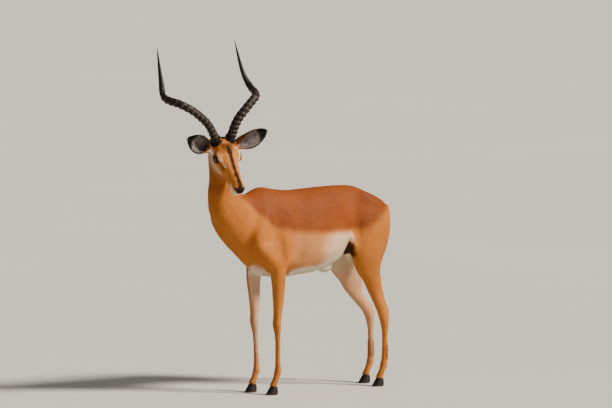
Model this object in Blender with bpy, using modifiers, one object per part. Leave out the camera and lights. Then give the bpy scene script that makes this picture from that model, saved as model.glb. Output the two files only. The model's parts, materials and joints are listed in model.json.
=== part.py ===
"""An impala ram standing still, with its head turned to its left, as a life-size solid model.

Axes: +X is forward along the trunk, +Y is the animal's left, +Z is up, and the soles stand on Z = 0.
The whole body is lofted, joined into one skin, then parted by thin cuts into the pieces a person would name.
Ears, eyes, horns, hoof claws and the tail are pieces of their own.
"""

import math

import bmesh
import bpy
import numpy as np
from mathutils import Matrix, Vector

# Driving dimensions, in metres and degrees.
GAP = 0.0003  # the thin cut between neighbouring pieces
BODY_VOXEL = 0.005
HEAD_VOXEL = 0.0028
BODY_TRIANGLES = 4000
HEAD_TRIANGLES = 1150
TRACK = 0.068  # half the distance between left and right feet
# How far the right legs lead the left ones, as (height, lead), from foot to trunk.
RIGHT_FORE_LEAD = [(0.0, 0.022), (0.50, 0.022), (0.62, 0.0)]
RIGHT_HIND_LEAD = [(0.0, -0.020), (0.33, -0.020), (0.385, 0.004), (0.46, 0.026), (0.56, 0.030), (0.72, 0.0)]
CORONET_HEIGHT = 0.036

HORN_MIDDLE = Vector((0.460, 0.060, 1.143))  # on the forehead, between the horn bases
HEAD_YAW = math.radians(85)  # from straight ahead towards the animal's left
HEAD_ROLL = math.radians(3.5)  # its left side is a little higher than its right
FACE_PITCH = math.radians(57)  # of the line from forehead to nose, below the horizontal
EYE = Vector((0.080, 0.0490, -0.030))  # centre of the left eye, in the head's own frame
EYE_RADIUS = 0.0180

HORN_SPREAD = 0.036  # from the middle of the head to each horn's axis
HORN_RIDGES = 15
# The horn's radius between its rings, as (share of its length, radius).
HORN_RADII = [(0.0, 0.0196), (0.15, 0.0180), (0.35, 0.0168), (0.56, 0.0152), (0.66, 0.0126), (0.76, 0.0098),
              (0.86, 0.0065), (0.95, 0.0030), (1.0, 0.0010)]
HORN_STUB = 0.006  # from the forehead up the horn's axis to where fur gives way to horn
EAR_LENGTH = 0.160

NECK_CUT = (Vector((0.355, 0.0, 0.80)), Vector((0.863, 0.0, 0.505)))
TAIL_CUT = (Vector((-0.4345, 0.0, 0.80)), Vector((-1.0, 0.0, 0.0)))

COLOURS = {
    "coat": ((0.42, 0.17, 0.065), 0.75),
    "pale": ((0.62, 0.42, 0.25), 0.80),
    "horn": ((0.018, 0.014, 0.012), 0.45),
    "hoof": ((0.015, 0.012, 0.010), 0.50),
    "eye": ((0.012, 0.006, 0.004), 0.08),
}


AHEAD = Vector((1, 0, 0))
UP = Vector((0, 0, 1))


def frame_of_head():
    """The head's own frame: X along the face to the nose, Y to its left, Z out of the forehead."""
    ahead = Vector((math.cos(HEAD_YAW), math.sin(HEAD_YAW), 0.0))
    along = ahead * math.cos(FACE_PITCH) - UP * math.sin(FACE_PITCH)
    out = ahead * math.sin(FACE_PITCH) + UP * math.cos(FACE_PITCH)
    turn = Matrix((along, UP.cross(ahead), out)).transposed().to_4x4()
    return Matrix.Translation(HORN_MIDDLE) @ Matrix.Rotation(HEAD_ROLL, 4, ahead) @ turn


HEAD = frame_of_head()
HEAD_CUT = (
    Vector((0.446, -0.008, 1.045)),
    Vector((math.cos(HEAD_YAW) * 0.75, math.sin(HEAD_YAW) * 0.75, 0.66)).normalized(),
)


# ---------------------------------------------------------------- lofting tools


def spline(rows, count):
    """Rows of numbers resampled along a Catmull-Rom curve that passes through every row."""
    rows = np.array(rows, float)
    padded = np.vstack([2 * rows[0] - rows[1], rows, 2 * rows[-1] - rows[-2]])
    out = []
    for t in np.linspace(0, len(rows) - 1, count):
        i = min(int(t), len(rows) - 2)
        a, b, c, d = padded[i : i + 4]
        s = t - i
        out.append(
            0.5 * (2 * b + (c - a) * s + (2 * a - 5 * b + 4 * c - d) * s**2 + (3 * b - a - 3 * c + d) * s**3)
        )
    return np.array(out)


def ring_points(centre, tangent, toward, sizes, sides, power):
    """A rounded ring across a path: its reach toward, away and sideways may all differ."""
    toward = (toward - tangent * toward.dot(tangent)).normalized()
    side = tangent.cross(toward)
    front, back, half = sizes
    points = []
    for k in range(sides):
        angle = 2 * math.pi * k / sides
        c, s = math.cos(angle), math.sin(angle)
        u = math.copysign(abs(c) ** (2 / power), c) * (front if c > 0 else back)
        v = math.copysign(abs(s) ** (2 / power), s) * half
        points.append(centre + toward * u + side * v)
    return points


def loft(bm, rows, toward, rings=24, sides=20, power=2.0, frame=None, toward_end=None, across=None):
    """Adds a closed tube through rows of (x, y, z, reach toward, reach away, half width).

    Its rings stand square to the path, or square to the axis given as across.
    """
    table = spline(rows, rings)
    table[:, 3:6] = np.maximum(table[:, 3:6], 0.001)
    path = [Vector(row[:3]) for row in table]
    loops = []
    for i, row in enumerate(table):
        tangent = across or (path[min(i + 1, rings - 1)] - path[max(i - 1, 0)]).normalized()
        share = i / (rings - 1)
        facing = Vector(toward).lerp(Vector(toward_end or toward), share)
        points = ring_points(path[i], tangent, facing, row[3:6], sides, power)
        loops.append([bm.verts.new(frame @ p if frame else p) for p in points])
    for low, high in zip(loops, loops[1:]):
        for k in range(sides):
            n = (k + 1) % sides
            bm.faces.new((low[k], low[n], high[n], high[k]))
    bm.faces.new(loops[0][::-1])
    bm.faces.new(loops[-1])


def ball(bm, centre, radii, turn=None, frame=None):
    """Adds an ellipsoid, for a muscle or a bony swelling."""
    place = Matrix.Translation(centre) @ (turn or Matrix.Identity(4)) @ Matrix.Diagonal((*radii, 1.0))
    bmesh.ops.create_icosphere(bm, subdivisions=3, radius=1.0, matrix=frame @ place if frame else place)


def mirrored(rows, leads, bent=0.0):
    """The rows of a left limb as a right one, moved forward by the lead at each height.

    In a more bent limb, part of a forward lead is a deeper limb rather than a shifted one.
    """
    heights, shifts = zip(*leads)
    out = []
    for x, y, z, front, back, half in rows:
        lead = float(np.interp(z, heights, shifts))
        spread = bent * max(lead, 0.0)
        out.append((x + lead - spread, -y, z, front + spread, back + spread, half))
    return out


# ---------------------------------------------------------------- the body's forms

# Rows along the trunk: x, height of the widest place, top, bottom, half width.
TRUNK = [
    (-0.431, 0.780, 0.806, 0.752, 0.018),
    (-0.415, 0.750, 0.828, 0.680, 0.056),
    (-0.370, 0.745, 0.853, 0.640, 0.088),
    (-0.310, 0.750, 0.879, 0.620, 0.101),
    (-0.250, 0.745, 0.902, 0.604, 0.103),
    (-0.190, 0.730, 0.907, 0.586, 0.104),
    (-0.120, 0.710, 0.907, 0.556, 0.116),
    (-0.040, 0.695, 0.904, 0.530, 0.129),
    (0.040, 0.690, 0.900, 0.521, 0.134),
    (0.110, 0.692, 0.899, 0.516, 0.130),
    (0.180, 0.700, 0.909, 0.517, 0.116),
    (0.240, 0.710, 0.917, 0.530, 0.100),
    (0.300, 0.722, 0.896, 0.566, 0.088),
    (0.350, 0.740, 0.866, 0.612, 0.082),
    (0.400, 0.760, 0.850, 0.660, 0.074),
    (0.440, 0.780, 0.846, 0.704, 0.060),
    (0.470, 0.800, 0.846, 0.750, 0.042),
    (0.484, 0.810, 0.832, 0.786, 0.020),
]

# Rows up the neck: x, y, z, reach to the throat, reach to the crest, half width.
NECK = [
    (0.270, 0.000, 0.740, 0.120, 0.138, 0.084),
    (0.345, 0.000, 0.790, 0.126, 0.104, 0.080),
    (0.402, 0.000, 0.845, 0.114, 0.086, 0.073),
    (0.426, 0.000, 0.900, 0.090, 0.077, 0.064),
    (0.432, -0.002, 0.955, 0.071, 0.066, 0.057),
    (0.437, -0.005, 1.005, 0.064, 0.060, 0.053),
    (0.442, -0.009, 1.045, 0.060, 0.056, 0.051),
    (0.447, -0.014, 1.080, 0.050, 0.046, 0.045),
    (0.449, -0.018, 1.100, 0.030, 0.028, 0.030),
]

# Rows along the head, in its own frame: x, height of the widest place, top, bottom, half width.
SKULL = [
    (-0.052, -0.094, -0.084, -0.104, 0.018),
    (-0.044, -0.088, -0.070, -0.112, 0.034),
    (-0.026, -0.070, -0.042, -0.118, 0.045),
    (0.000, -0.050, -0.012, -0.120, 0.048),
    (0.030, -0.038, 0.001, -0.122, 0.050),
    (0.060, -0.034, 0.005, -0.120, 0.053),
    (0.085, -0.032, 0.004, -0.112, 0.052),
    (0.112, -0.034, 0.000, -0.100, 0.045),
    (0.144, -0.038, -0.002, -0.088, 0.037),
    (0.176, -0.039, -0.002, -0.079, 0.0320),
    (0.206, -0.039, -0.001, -0.071, 0.0290),
    (0.230, -0.037, -0.002, -0.066, 0.0290),
    (0.247, -0.034, -0.008, -0.059, 0.0250),
    (0.256, -0.032, -0.018, -0.049, 0.0150),
]

# Rows down the left foreleg: x, y, z, reach forward, reach back, half width.
FORELEG = [
    (0.232, 0.078, 0.680, 0.066, 0.066, 0.036),
    (0.216, 0.082, 0.620, 0.056, 0.058, 0.038),
    (0.201, 0.084, 0.562, 0.042, 0.046, 0.034),
    (0.195, 0.083, 0.500, 0.033, 0.038, 0.028),
    (0.193, 0.080, 0.430, 0.027, 0.031, 0.0240),
    (0.193, 0.077, 0.370, 0.0215, 0.0245, 0.0205),
    (0.194, 0.075, 0.338, 0.0205, 0.0205, 0.0205),
    (0.195, 0.074, 0.312, 0.0210, 0.0200, 0.0215),
    (0.193, 0.073, 0.284, 0.0165, 0.0185, 0.0180),
    (0.190, 0.072, 0.250, 0.0135, 0.0145, 0.0140),
    (0.188, 0.070, 0.180, 0.0130, 0.0140, 0.0130),
    (0.187, 0.069, 0.125, 0.0140, 0.0155, 0.0145),
    (0.188, 0.068, 0.101, 0.0165, 0.0195, 0.0170),
    (0.194, 0.068, 0.079, 0.0150, 0.0165, 0.0158),
    (0.203, 0.068, 0.057, 0.0145, 0.0150, 0.0160),
    (0.213, 0.068, 0.034, 0.0190, 0.0185, 0.0190),
]

# Rows down the left hind leg, from the hip.
HIND_LEG = [
    (-0.325, 0.045, 0.835, 0.075, 0.060, 0.034),
    (-0.312, 0.066, 0.780, 0.108, 0.098, 0.046),
    (-0.304, 0.076, 0.715, 0.118, 0.104, 0.050),
    (-0.296, 0.080, 0.655, 0.110, 0.096, 0.050),
    (-0.290, 0.082, 0.600, 0.094, 0.084, 0.046),
    (-0.297, 0.081, 0.548, 0.076, 0.064, 0.039),
    (-0.312, 0.079, 0.500, 0.056, 0.044, 0.032),
    (-0.325, 0.077, 0.450, 0.041, 0.030, 0.0255),
    (-0.343, 0.075, 0.400, 0.031, 0.022, 0.0210),
    (-0.364, 0.073, 0.350, 0.025, 0.024, 0.0205),
    (-0.378, 0.072, 0.315, 0.025, 0.026, 0.0215),
    (-0.385, 0.071, 0.283, 0.0215, 0.0215, 0.0200),
    (-0.387, 0.070, 0.240, 0.0155, 0.0170, 0.0150),
    (-0.387, 0.069, 0.180, 0.0140, 0.0150, 0.0138),
    (-0.386, 0.068, 0.125, 0.0150, 0.0165, 0.0150),
    (-0.383, 0.068, 0.101, 0.0175, 0.0200, 0.0172),
    (-0.376, 0.068, 0.079, 0.0155, 0.0170, 0.0160),
    (-0.366, 0.068, 0.057, 0.0148, 0.0152, 0.0160),
    (-0.356, 0.068, 0.034, 0.0190, 0.0185, 0.0190),
]

# Rows down the tendon that stands clear of the shin behind, from the thigh to the point of the hock.
HOCK_TENDON = [
    (-0.345, 0.078, 0.500, 0.014, 0.014, 0.016),
    (-0.358, 0.077, 0.450, 0.009, 0.009, 0.010),
    (-0.378, 0.075, 0.390, 0.007, 0.008, 0.008),
    (-0.397, 0.073, 0.340, 0.010, 0.010, 0.010),
    (-0.400, 0.072, 0.305, 0.010, 0.009, 0.010),
]


def section_rows(table):
    """Rows of x, widest height, top, bottom, half width as loft rows along X."""
    return [(x, 0.0, wide, top - wide, wide - low, half) for x, wide, top, low, half in table]


def add_shoulder(bm, side):
    """Shoulder blade, upper arm and the muscle behind it, which carry the foreleg."""
    y = side
    blade = [
        (0.195, 0.036 * y, 0.885, 0.034, 0.040, 0.016),
        (0.232, 0.060 * y, 0.820, 0.052, 0.056, 0.030),
        (0.272, 0.078 * y, 0.745, 0.050, 0.058, 0.033),
        (0.300, 0.084 * y, 0.690, 0.044, 0.050, 0.030),
        (0.305, 0.080 * y, 0.650, 0.028, 0.034, 0.022),
    ]
    upper_arm = [
        (0.318, 0.070 * y, 0.715, 0.026, 0.030, 0.024),
        (0.292, 0.084 * y, 0.668, 0.040, 0.046, 0.032),
        (0.240, 0.090 * y, 0.615, 0.042, 0.050, 0.034),
        (0.196, 0.088 * y, 0.575, 0.032, 0.036, 0.028),
    ]
    triceps = [
        (0.178, 0.074 * y, 0.770, 0.030, 0.026, 0.020),
        (0.172, 0.092 * y, 0.700, 0.044, 0.036, 0.032),
        (0.170, 0.096 * y, 0.635, 0.042, 0.030, 0.030),
        (0.166, 0.090 * y, 0.580, 0.024, 0.018, 0.022),
    ]
    for rows in (blade, upper_arm, triceps):
        loft(bm, rows, (1, 0, 0.2), rings=14, sides=16)


def add_groin(bm):
    """The ram's sheath under the belly and his scrotum between the thighs."""
    ball(bm, (-0.105, 0.0, 0.548), (0.055, 0.020, 0.026))
    ball(bm, (-0.250, 0.0, 0.585), (0.024, 0.026, 0.040))


def add_haunch(bm, side):
    """Hip bone, buttock muscle and the fold of skin from the flank to the stifle."""
    hip = [
        (-0.215, 0.060 * side, 0.868, 0.020, 0.030, 0.016),
        (-0.270, 0.066 * side, 0.840, 0.040, 0.050, 0.030),
        (-0.340, 0.066 * side, 0.800, 0.046, 0.050, 0.036),
        (-0.400, 0.056 * side, 0.770, 0.034, 0.040, 0.026),
    ]
    buttock = [
        (-0.396, 0.044 * side, 0.810, 0.030, 0.024, 0.024),
        (-0.390, 0.060 * side, 0.745, 0.040, 0.027, 0.034),
        (-0.370, 0.070 * side, 0.660, 0.040, 0.026, 0.034),
        (-0.348, 0.076 * side, 0.580, 0.030, 0.020, 0.028),
    ]
    fold = [
        (-0.120, 0.098 * side, 0.715, 0.016, 0.016, 0.016),
        (-0.160, 0.098 * side, 0.690, 0.022, 0.022, 0.014),
        (-0.205, 0.096 * side, 0.640, 0.026, 0.026, 0.016),
    ]
    loft(bm, hip, (0, 0, 1), rings=12, sides=16)
    loft(bm, buttock, (1, 0, 0), rings=12, sides=16)
    loft(bm, fold, (1, 0, 0.6), rings=8, sides=12)


def add_limbs(bm):
    """Both fore and hind legs down to the coronets, with the muscle that joins them to the trunk."""
    for side in (1, -1):
        fore, hind, tendon = FORELEG, HIND_LEG, HOCK_TENDON
        if side < 0:
            fore = mirrored(FORELEG, RIGHT_FORE_LEAD)
            hind = mirrored(HIND_LEG, RIGHT_HIND_LEAD, bent=0.8)
            tendon = mirrored(HOCK_TENDON, RIGHT_HIND_LEAD)
        loft(bm, fore, (1, 0, 0), rings=64, sides=20)
        loft(bm, hind, (1, 0, 0), rings=76, sides=20)
        loft(bm, tendon, (1, 0, 0), rings=16, sides=10)
        add_shoulder(bm, side)
        add_haunch(bm, side)


def add_head(bm):
    """Skull and muzzle with brows, cheeks and nostril wings, and the stubs of horns and ears."""
    loft(bm, section_rows(SKULL), UP, rings=44, sides=32, power=2.25, frame=HEAD, across=AHEAD)
    for y in (1, -1):
        ball(bm, (0.076, 0.040 * y, -0.026), (0.030, 0.020, 0.024), frame=HEAD)  # orbit
        ball(bm, (0.048, 0.030 * y, -0.078), (0.048, 0.018, 0.036), frame=HEAD)  # cheek
        ball(bm, (0.235, 0.0155 * y, -0.024), (0.017, 0.012, 0.016), frame=HEAD)  # nostril wing
        loft(bm, horn_stub_rows(y), (1, 0, 0), rings=8, sides=16, frame=HEAD)
        loft(bm, ear_stub_rows(y), (1, 0, 0), rings=8, sides=16, frame=HEAD)
    ball(bm, (0.232, 0.0, -0.055), (0.020, 0.018, 0.013), frame=HEAD)  # chin


def fill_creases(mesh, rounds, strength=0.5, evened=4):
    """Rounds the creases where two forms meet: only hollow places move, outwards, then all are evened."""
    count = len(mesh.vertices)
    co = np.empty(count * 3)
    mesh.vertices.foreach_get("co", co)
    co = co.reshape(-1, 3)
    ends = np.empty(len(mesh.edges) * 2, np.int64)
    mesh.edges.foreach_get("vertices", ends)
    ends = ends.reshape(-1, 2)
    degree = np.bincount(ends.ravel(), minlength=count)[:, None]
    for step in range(rounds + evened):
        total = np.zeros((count, 3))
        for axis in range(3):
            total[:, axis] = np.bincount(ends[:, 0], co[ends[:, 1], axis], count) + np.bincount(
                ends[:, 1], co[ends[:, 0], axis], count
            )
        pull = total / degree - co
        if step < rounds:
            mesh.vertices.foreach_set("co", co.ravel())
            mesh.update()
            normals = np.empty(count * 3, np.float32)
            mesh.vertex_normals.foreach_get("vector", normals)
            normals = normals.reshape(-1, 3)
            outward = np.maximum((pull * normals).sum(1), 0.0)[:, None]
            co = co + strength * outward * normals
        else:
            co = co + 0.5 * pull
    mesh.vertices.foreach_set("co", co.ravel())
    mesh.update()


def remeshed(bm, voxel, name):
    """The overlapping forms in bm as one closed skin."""
    bmesh.ops.recalc_face_normals(bm, faces=bm.faces)
    mesh = bpy.data.meshes.new(name)
    bm.to_mesh(mesh)
    bm.free()
    obj = bpy.data.objects.new(name, mesh)
    bpy.context.scene.collection.objects.link(obj)
    modifier = obj.modifiers.new("Join", "REMESH")
    modifier.mode = "VOXEL"
    modifier.voxel_size = voxel
    graph = bpy.context.evaluated_depsgraph_get()
    joined = bpy.data.meshes.new_from_object(obj.evaluated_get(graph))
    bpy.data.objects.remove(obj)
    return joined


def whole_body():
    """Trunk, neck and limbs as one smooth skin."""
    bm = bmesh.new()
    loft(bm, section_rows(TRUNK), UP, rings=60, sides=40, power=2.15, across=AHEAD)
    loft(bm, NECK, (1, 0, 0.3), rings=40, sides=32, toward_end=(0.55, 0.83, 0))
    add_limbs(bm)
    add_groin(bm)
    add_head(bm)
    skin = remeshed(bm, BODY_VOXEL, "body_skin")
    fill_creases(skin, 60)
    return skin


def head_skin():
    """The head and the top of the neck again, on a finer grid."""
    bm = bmesh.new()
    loft(bm, NECK, (1, 0, 0.3), rings=40, sides=32, toward_end=(0.55, 0.83, 0))
    add_head(bm)
    skin = remeshed(bm, HEAD_VOXEL, "head_skin")
    fill_creases(skin, 60)
    return skin


# ---------------------------------------------------------------- horns, ears, eyes, tail, hooves


def horn_path(side):
    """The horn's axis in world space: up and out from the head, back at the bend, then up to the tip."""
    ahead = Matrix.Rotation(HEAD_YAW, 4, "Z") @ Matrix.Rotation(HEAD_ROLL, 4, "X")
    # ahead (negative is back), out and up, from the middle of the forehead
    steps = [
        (-0.013, HORN_SPREAD, -0.002),
        (-0.012, 0.073, 0.071),
        (-0.018, 0.131, 0.128),
        (-0.042, 0.186, 0.166),
        (-0.088, 0.211, 0.180),
        (-0.139, 0.217, 0.199),
        (-0.175, 0.205, 0.254),
        (-0.200, 0.198, 0.328),
        (-0.220, 0.193, 0.408),
    ]
    return [HORN_MIDDLE + ahead @ Vector((x, out * side, up)) for x, out, up in steps]


def horn_stub_rows(side):
    """The furred stub under each horn, in the head's frame, from inside the skull to past the cut."""
    into_head = HEAD.inverted()
    base = into_head @ horn_path(side)[0]
    outward = (into_head @ horn_path(side)[1] - base).normalized()
    rows = []
    for share, radius in ((-0.034, 0.014), (-0.016, 0.019), (0.0, 0.0205), (0.008, 0.0205), (0.016, 0.0200)):
        rows.append((*(base + outward * share), radius * 1.08, radius * 1.08, radius * 0.94))
    return rows


def horn_cut(side):
    """Where the horn leaves the fur, as a point and a direction."""
    path = horn_path(side)
    outward = (path[1] - path[0]).normalized()
    return path[0] + outward * HORN_STUB, outward


def ear_frame(side):
    """The ear's own frame: X to its tip, Z out of its hollow, with its origin where it leaves the head."""
    tip = Vector((-0.150, -0.835, 0.530)) if side < 0 else Vector((-0.185, 0.896, 0.405))
    tip.normalize()
    hollow = Vector((0.80, -0.10 * side, 0.60))
    hollow = (hollow - tip * hollow.dot(tip)).normalized()
    turn = Matrix((tip, hollow.cross(tip), hollow)).transposed().to_4x4()
    return HEAD @ Matrix.Translation((0.022, 0.062 * side, -0.046)) @ turn


def ear_stub_rows(side):
    """The root of the ear, in the head's frame, from inside the skull to past the ear's cut."""
    local = HEAD.inverted() @ ear_frame(side)
    sizes = ((-0.034, 0.014), (-0.018, 0.0175), (-0.004, 0.0185), (0.010, 0.0185))
    return [(*(local @ Vector((x, 0, -0.006))), r, r, r * 0.95) for x, r in sizes]


def new_object(name, mesh, material, collection):
    obj = bpy.data.objects.new(name, mesh)
    mesh.materials.clear()
    mesh.materials.append(material)
    mesh.shade_smooth()
    mesh.set_sharp_from_angle(angle=math.radians(50))
    collection.objects.link(obj)
    return obj


def mesh_of(bm, name):
    bmesh.ops.remove_doubles(bm, verts=bm.verts, dist=1e-5)
    bmesh.ops.recalc_face_normals(bm, faces=bm.faces)
    mesh = bpy.data.meshes.new(name)
    bm.to_mesh(mesh)
    bm.free()
    return mesh


def horn_mesh(side):
    """A lyre-shaped horn: ridged rings up to two thirds of its length, then a smooth tip."""
    path = spline([tuple(p) for p in horn_path(side)], 400)
    start, outward = horn_cut(side)
    lengths = np.concatenate([[0], np.cumsum(np.linalg.norm(np.diff(path, axis=0), axis=1))])
    total = lengths[-1]
    first = HORN_STUB + GAP
    ridged = 0.66 * total
    stops = [(first, 0.0)]
    for k in range(HORN_RIDGES):  # rings lie closer together near the head
        begin, end = (first + (ridged - first) * (j / HORN_RIDGES) ** 1.2 for j in (k, k + 1))
        pitch = end - begin
        middle = (begin + end) / 2
        height = 0.0030 * (1 - 0.40 * k / HORN_RIDGES)
        stops += [(middle - 0.1 * pitch, height), (middle + 0.45 * pitch, 0.0)]
    stops += [(s, 0.0) for s in np.linspace(ridged + 0.03, total, 7)]
    bm = bmesh.new()
    loops = []
    for s, ridge in stops:
        centre = Vector([np.interp(s, lengths, path[:, axis]) for axis in range(3)])
        ahead = Vector([np.interp(min(s + 0.004, total), lengths, path[:, axis]) for axis in range(3)])
        behind = Vector([np.interp(max(s - 0.004, 0), lengths, path[:, axis]) for axis in range(3)])
        tangent = outward if s == first else (ahead - behind).normalized()
        share = s / total
        radius = float(np.interp(share, *np.array(HORN_RADII).T)) + ridge
        facing = HEAD.to_3x3() @ Vector((1, 0, 0))
        sizes = (radius * 1.08, radius * 1.08, radius * 0.92)
        points = ring_points(centre, tangent, facing, sizes, 10, 2.0)
        loops.append([bm.verts.new(p) for p in points])
    for low, high in zip(loops, loops[1:]):
        for k in range(10):
            bm.faces.new((low[k], low[(k + 1) % 10], high[(k + 1) % 10], high[k]))
    bm.faces.new(loops[0][::-1])
    bm.faces.new(loops[-1])
    return mesh_of(bm, "horn")


def ear_mesh(side):
    """A cupped leaf: nearly a closed tube at the root, opening to a hollow, with a pointed tip."""
    frame = ear_frame(side)
    columns, rows = 8, 9
    bm = bmesh.new()
    grid = []
    for i in range(rows + 1):
        u = i / rows
        half_arc = 0.060 * math.sin(math.pi * min(1.0, 0.30 + 0.70 * u) ** 1.03) ** 0.64
        half_arc = max(half_arc, 0.0055)
        curl = math.radians(150 * (1 - u) ** 2.2 + 42)
        curl = min(curl, math.radians(158))
        radius = half_arc / curl
        row = []
        for j in range(columns + 1):
            turn = curl * (2 * j / columns - 1)
            across = radius * math.sin(turn)
            depth = radius * (math.cos(turn) - math.cos(curl)) * -1
            lift = 0.018 * math.sin(math.pi * u) * 0.4
            row.append(bm.verts.new(Vector((GAP + EAR_LENGTH * u, across, depth + 0.010 * (1 - u) + lift))))
        grid.append(row)
    for low, high in zip(grid, grid[1:]):
        for j in range(columns):
            bm.faces.new((low[j], low[j + 1], high[j + 1], high[j]))
    bmesh.ops.recalc_face_normals(bm, faces=bm.faces)
    bmesh.ops.transform(bm, matrix=frame, verts=bm.verts)
    mesh = bpy.data.meshes.new("ear")
    bm.to_mesh(mesh)
    bm.free()
    return mesh


TAIL = [
    (-0.415, 0.0, 0.808, 0.018, 0.016, 0.016),
    (-0.436, 0.0, 0.797, 0.013, 0.014, 0.016),
    (-0.449, 0.0, 0.768, 0.010, 0.012, 0.015),
    (-0.450, 0.0, 0.715, 0.009, 0.011, 0.015),
    (-0.442, 0.0, 0.660, 0.010, 0.011, 0.017),
    (-0.427, 0.0, 0.605, 0.011, 0.012, 0.018),
    (-0.414, 0.0, 0.560, 0.009, 0.010, 0.015),
    (-0.406, 0.0, 0.530, 0.003, 0.004, 0.006),
]


def bisected(bm, point, normal, inside=False):
    """Cuts bm with a plane, drops what lies past it and closes the hole."""
    geom = bm.verts[:] + bm.edges[:] + bm.faces[:]
    bmesh.ops.bisect_plane(
        bm, geom=geom, dist=1e-6, plane_co=point, plane_no=normal, clear_outer=not inside, clear_inner=inside
    )
    rim = [e for e in bm.edges if e.is_boundary]
    if rim:
        bmesh.ops.triangle_fill(bm, edges=rim, use_beauty=True)


def tail_mesh():
    bm = bmesh.new()
    loft(bm, TAIL, (1, 0, 0), rings=13, sides=10)
    bmesh.ops.recalc_face_normals(bm, faces=bm.faces)
    point, outward = TAIL_CUT
    bisected(bm, point + outward * GAP, outward, inside=True)
    return mesh_of(bm, "tail")


def claw_mesh(foot, side):
    """One of a foot's two hoof claws: a flat sole, an upright inner wall and a pointed toe."""
    slit, heel, toe, half = 0.0009, -0.021, 0.034, 0.0180
    # along from heel to toe, and the outer wall's reach there
    outline = [(0.0, 0.30), (0.06, 0.66), (0.22, 0.94), (0.45, 1.0), (0.66, 0.90), (0.84, 0.62), (0.96, 0.24)]
    # height, then how far the toe and heel draw in, and the wall's share of its reach
    levels = [(0.0, 0.0015, 0.003, 0.95), (0.004, 0.0, 0.0, 1.0), (0.016, 0.008, -0.001, 0.96)]
    levels.append((CORONET_HEIGHT - GAP, 0.021, 0.002, 0.82))
    bm = bmesh.new()
    loops = []
    for z, from_toe, from_heel, share in levels:
        back, front = heel + from_heel, toe - from_toe
        ring = [Vector((back, slit, z))]
        ring += [Vector((back + (front - back) * t, slit + half * share * w, z)) for t, w in outline]
        ring.append(Vector((front, slit, z)))
        loops.append([bm.verts.new(p) for p in ring])
    for low, high in zip(loops, loops[1:]):
        for k in range(len(low)):
            n = (k + 1) % len(low)
            bm.faces.new((low[k], low[n], high[n], high[k]))
    bm.faces.new(loops[0][::-1])
    bm.faces.new(loops[-1])
    heel_point = Matrix.Translation((heel - 0.004, 0, 0))
    turn = Matrix.Translation(foot) @ heel_point @ Matrix.Rotation(math.radians(4) * side, 4, "Z")
    place = turn @ heel_point.inverted() @ Matrix.Diagonal((1, side, 1, 1))
    bmesh.ops.transform(bm, matrix=place, verts=bm.verts)
    return mesh_of(bm, "claw")


def eye_mesh(place):
    bm = bmesh.new()
    bmesh.ops.create_uvsphere(bm, u_segments=12, v_segments=8, radius=EYE_RADIUS, matrix=place)
    return mesh_of(bm, "eye")


# ---------------------------------------------------------------- parting the skin


def cutter(name, bm):
    """Puts bm in the collection of cutters, which never render."""
    mesh = bpy.data.meshes.new(name)
    bm.to_mesh(mesh)
    bm.free()
    made = bpy.data.objects.new(name, mesh)
    made.hide_render = True
    made.display_type = "WIRE"
    CUTTERS.objects.link(made)
    return made


def block(name, planes):
    """A block bounded by planes, each a point on it and its outward direction."""
    bm = bmesh.new()
    bmesh.ops.create_cube(bm, size=4.0)
    for point, outward in planes:
        bisected(bm, Vector(point), Vector(outward).normalized())
    bmesh.ops.recalc_face_normals(bm, faces=bm.faces)
    return cutter(name, bm)


def leg_block(name, side, x_range, inner, top, slope, bottom, grow=0.0):
    """The space of one leg; its top slopes up outwards, because the cut follows the trunk's edge."""
    middle = (sum(x_range) / 2, 0.085 * side, top + grow)
    lift = Vector((-slope[0], -slope[1] * side, 1.0))
    planes = [
        (middle, lift),
        ((x_range[0] - grow, 0, 0), (-1, 0, 0)),
        ((x_range[1] + grow, 0, 0), (1, 0, 0)),
        ((0, (inner - grow) * side, 0), (0, -side, 0)),
        ((0, 0, bottom), (0, 0, -1)),
    ]
    return block(name, planes)


def drum(name, point, normal, radius, depth):
    """A short drum standing on a cut plane, which trims a stub flat."""
    bm = bmesh.new()
    turn = normal.to_track_quat("Z", "Y").to_matrix().to_4x4()
    place = Matrix.Translation(point) @ turn @ Matrix.Translation((0, 0, depth / 2))
    bmesh.ops.create_cone(
        bm, cap_ends=True, segments=24, radius1=radius, radius2=radius, depth=depth, matrix=place
    )
    return cutter(name, bm)


def thinned(skin, name, triangles, beyond=None):
    """The skin with about that many triangles, after what lies past a plane is dropped."""
    if beyond:
        bm = bmesh.new()
        bm.from_mesh(skin)
        bisected(bm, *beyond)
        bm.to_mesh(skin)
        bm.free()
    helper = bpy.data.objects.new(name, skin)
    bpy.context.scene.collection.objects.link(helper)
    thin = helper.modifiers.new("Thin", "DECIMATE")
    thin.ratio = triangles / (2 * len(skin.polygons))
    graph = bpy.context.evaluated_depsgraph_get()
    mesh = bpy.data.meshes.new_from_object(helper.evaluated_get(graph))
    bpy.data.objects.remove(helper)
    return mesh


def boolean(obj, other, operation="DIFFERENCE"):
    modifier = obj.modifiers.new(other.name, "BOOLEAN")
    modifier.object = other
    modifier.operation = operation
    modifier.solver = "EXACT"


def material(name):
    colour, roughness = COLOURS[name]
    made = bpy.data.materials.new(name)
    made.use_nodes = True
    shader = made.node_tree.nodes["Principled BSDF"]
    shader.inputs["Base Color"].default_value = (*colour, 1.0)
    shader.inputs["Roughness"].default_value = roughness
    return made


for old in list(bpy.data.objects):
    bpy.data.objects.remove(old)
IMPALA = bpy.data.collections.new("impala")
CUTTERS = bpy.data.collections.new("cutters")
bpy.context.scene.collection.children.link(IMPALA)
bpy.context.scene.collection.children.link(CUTTERS)
MATERIALS = {name: material(name) for name in COLOURS}

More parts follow.
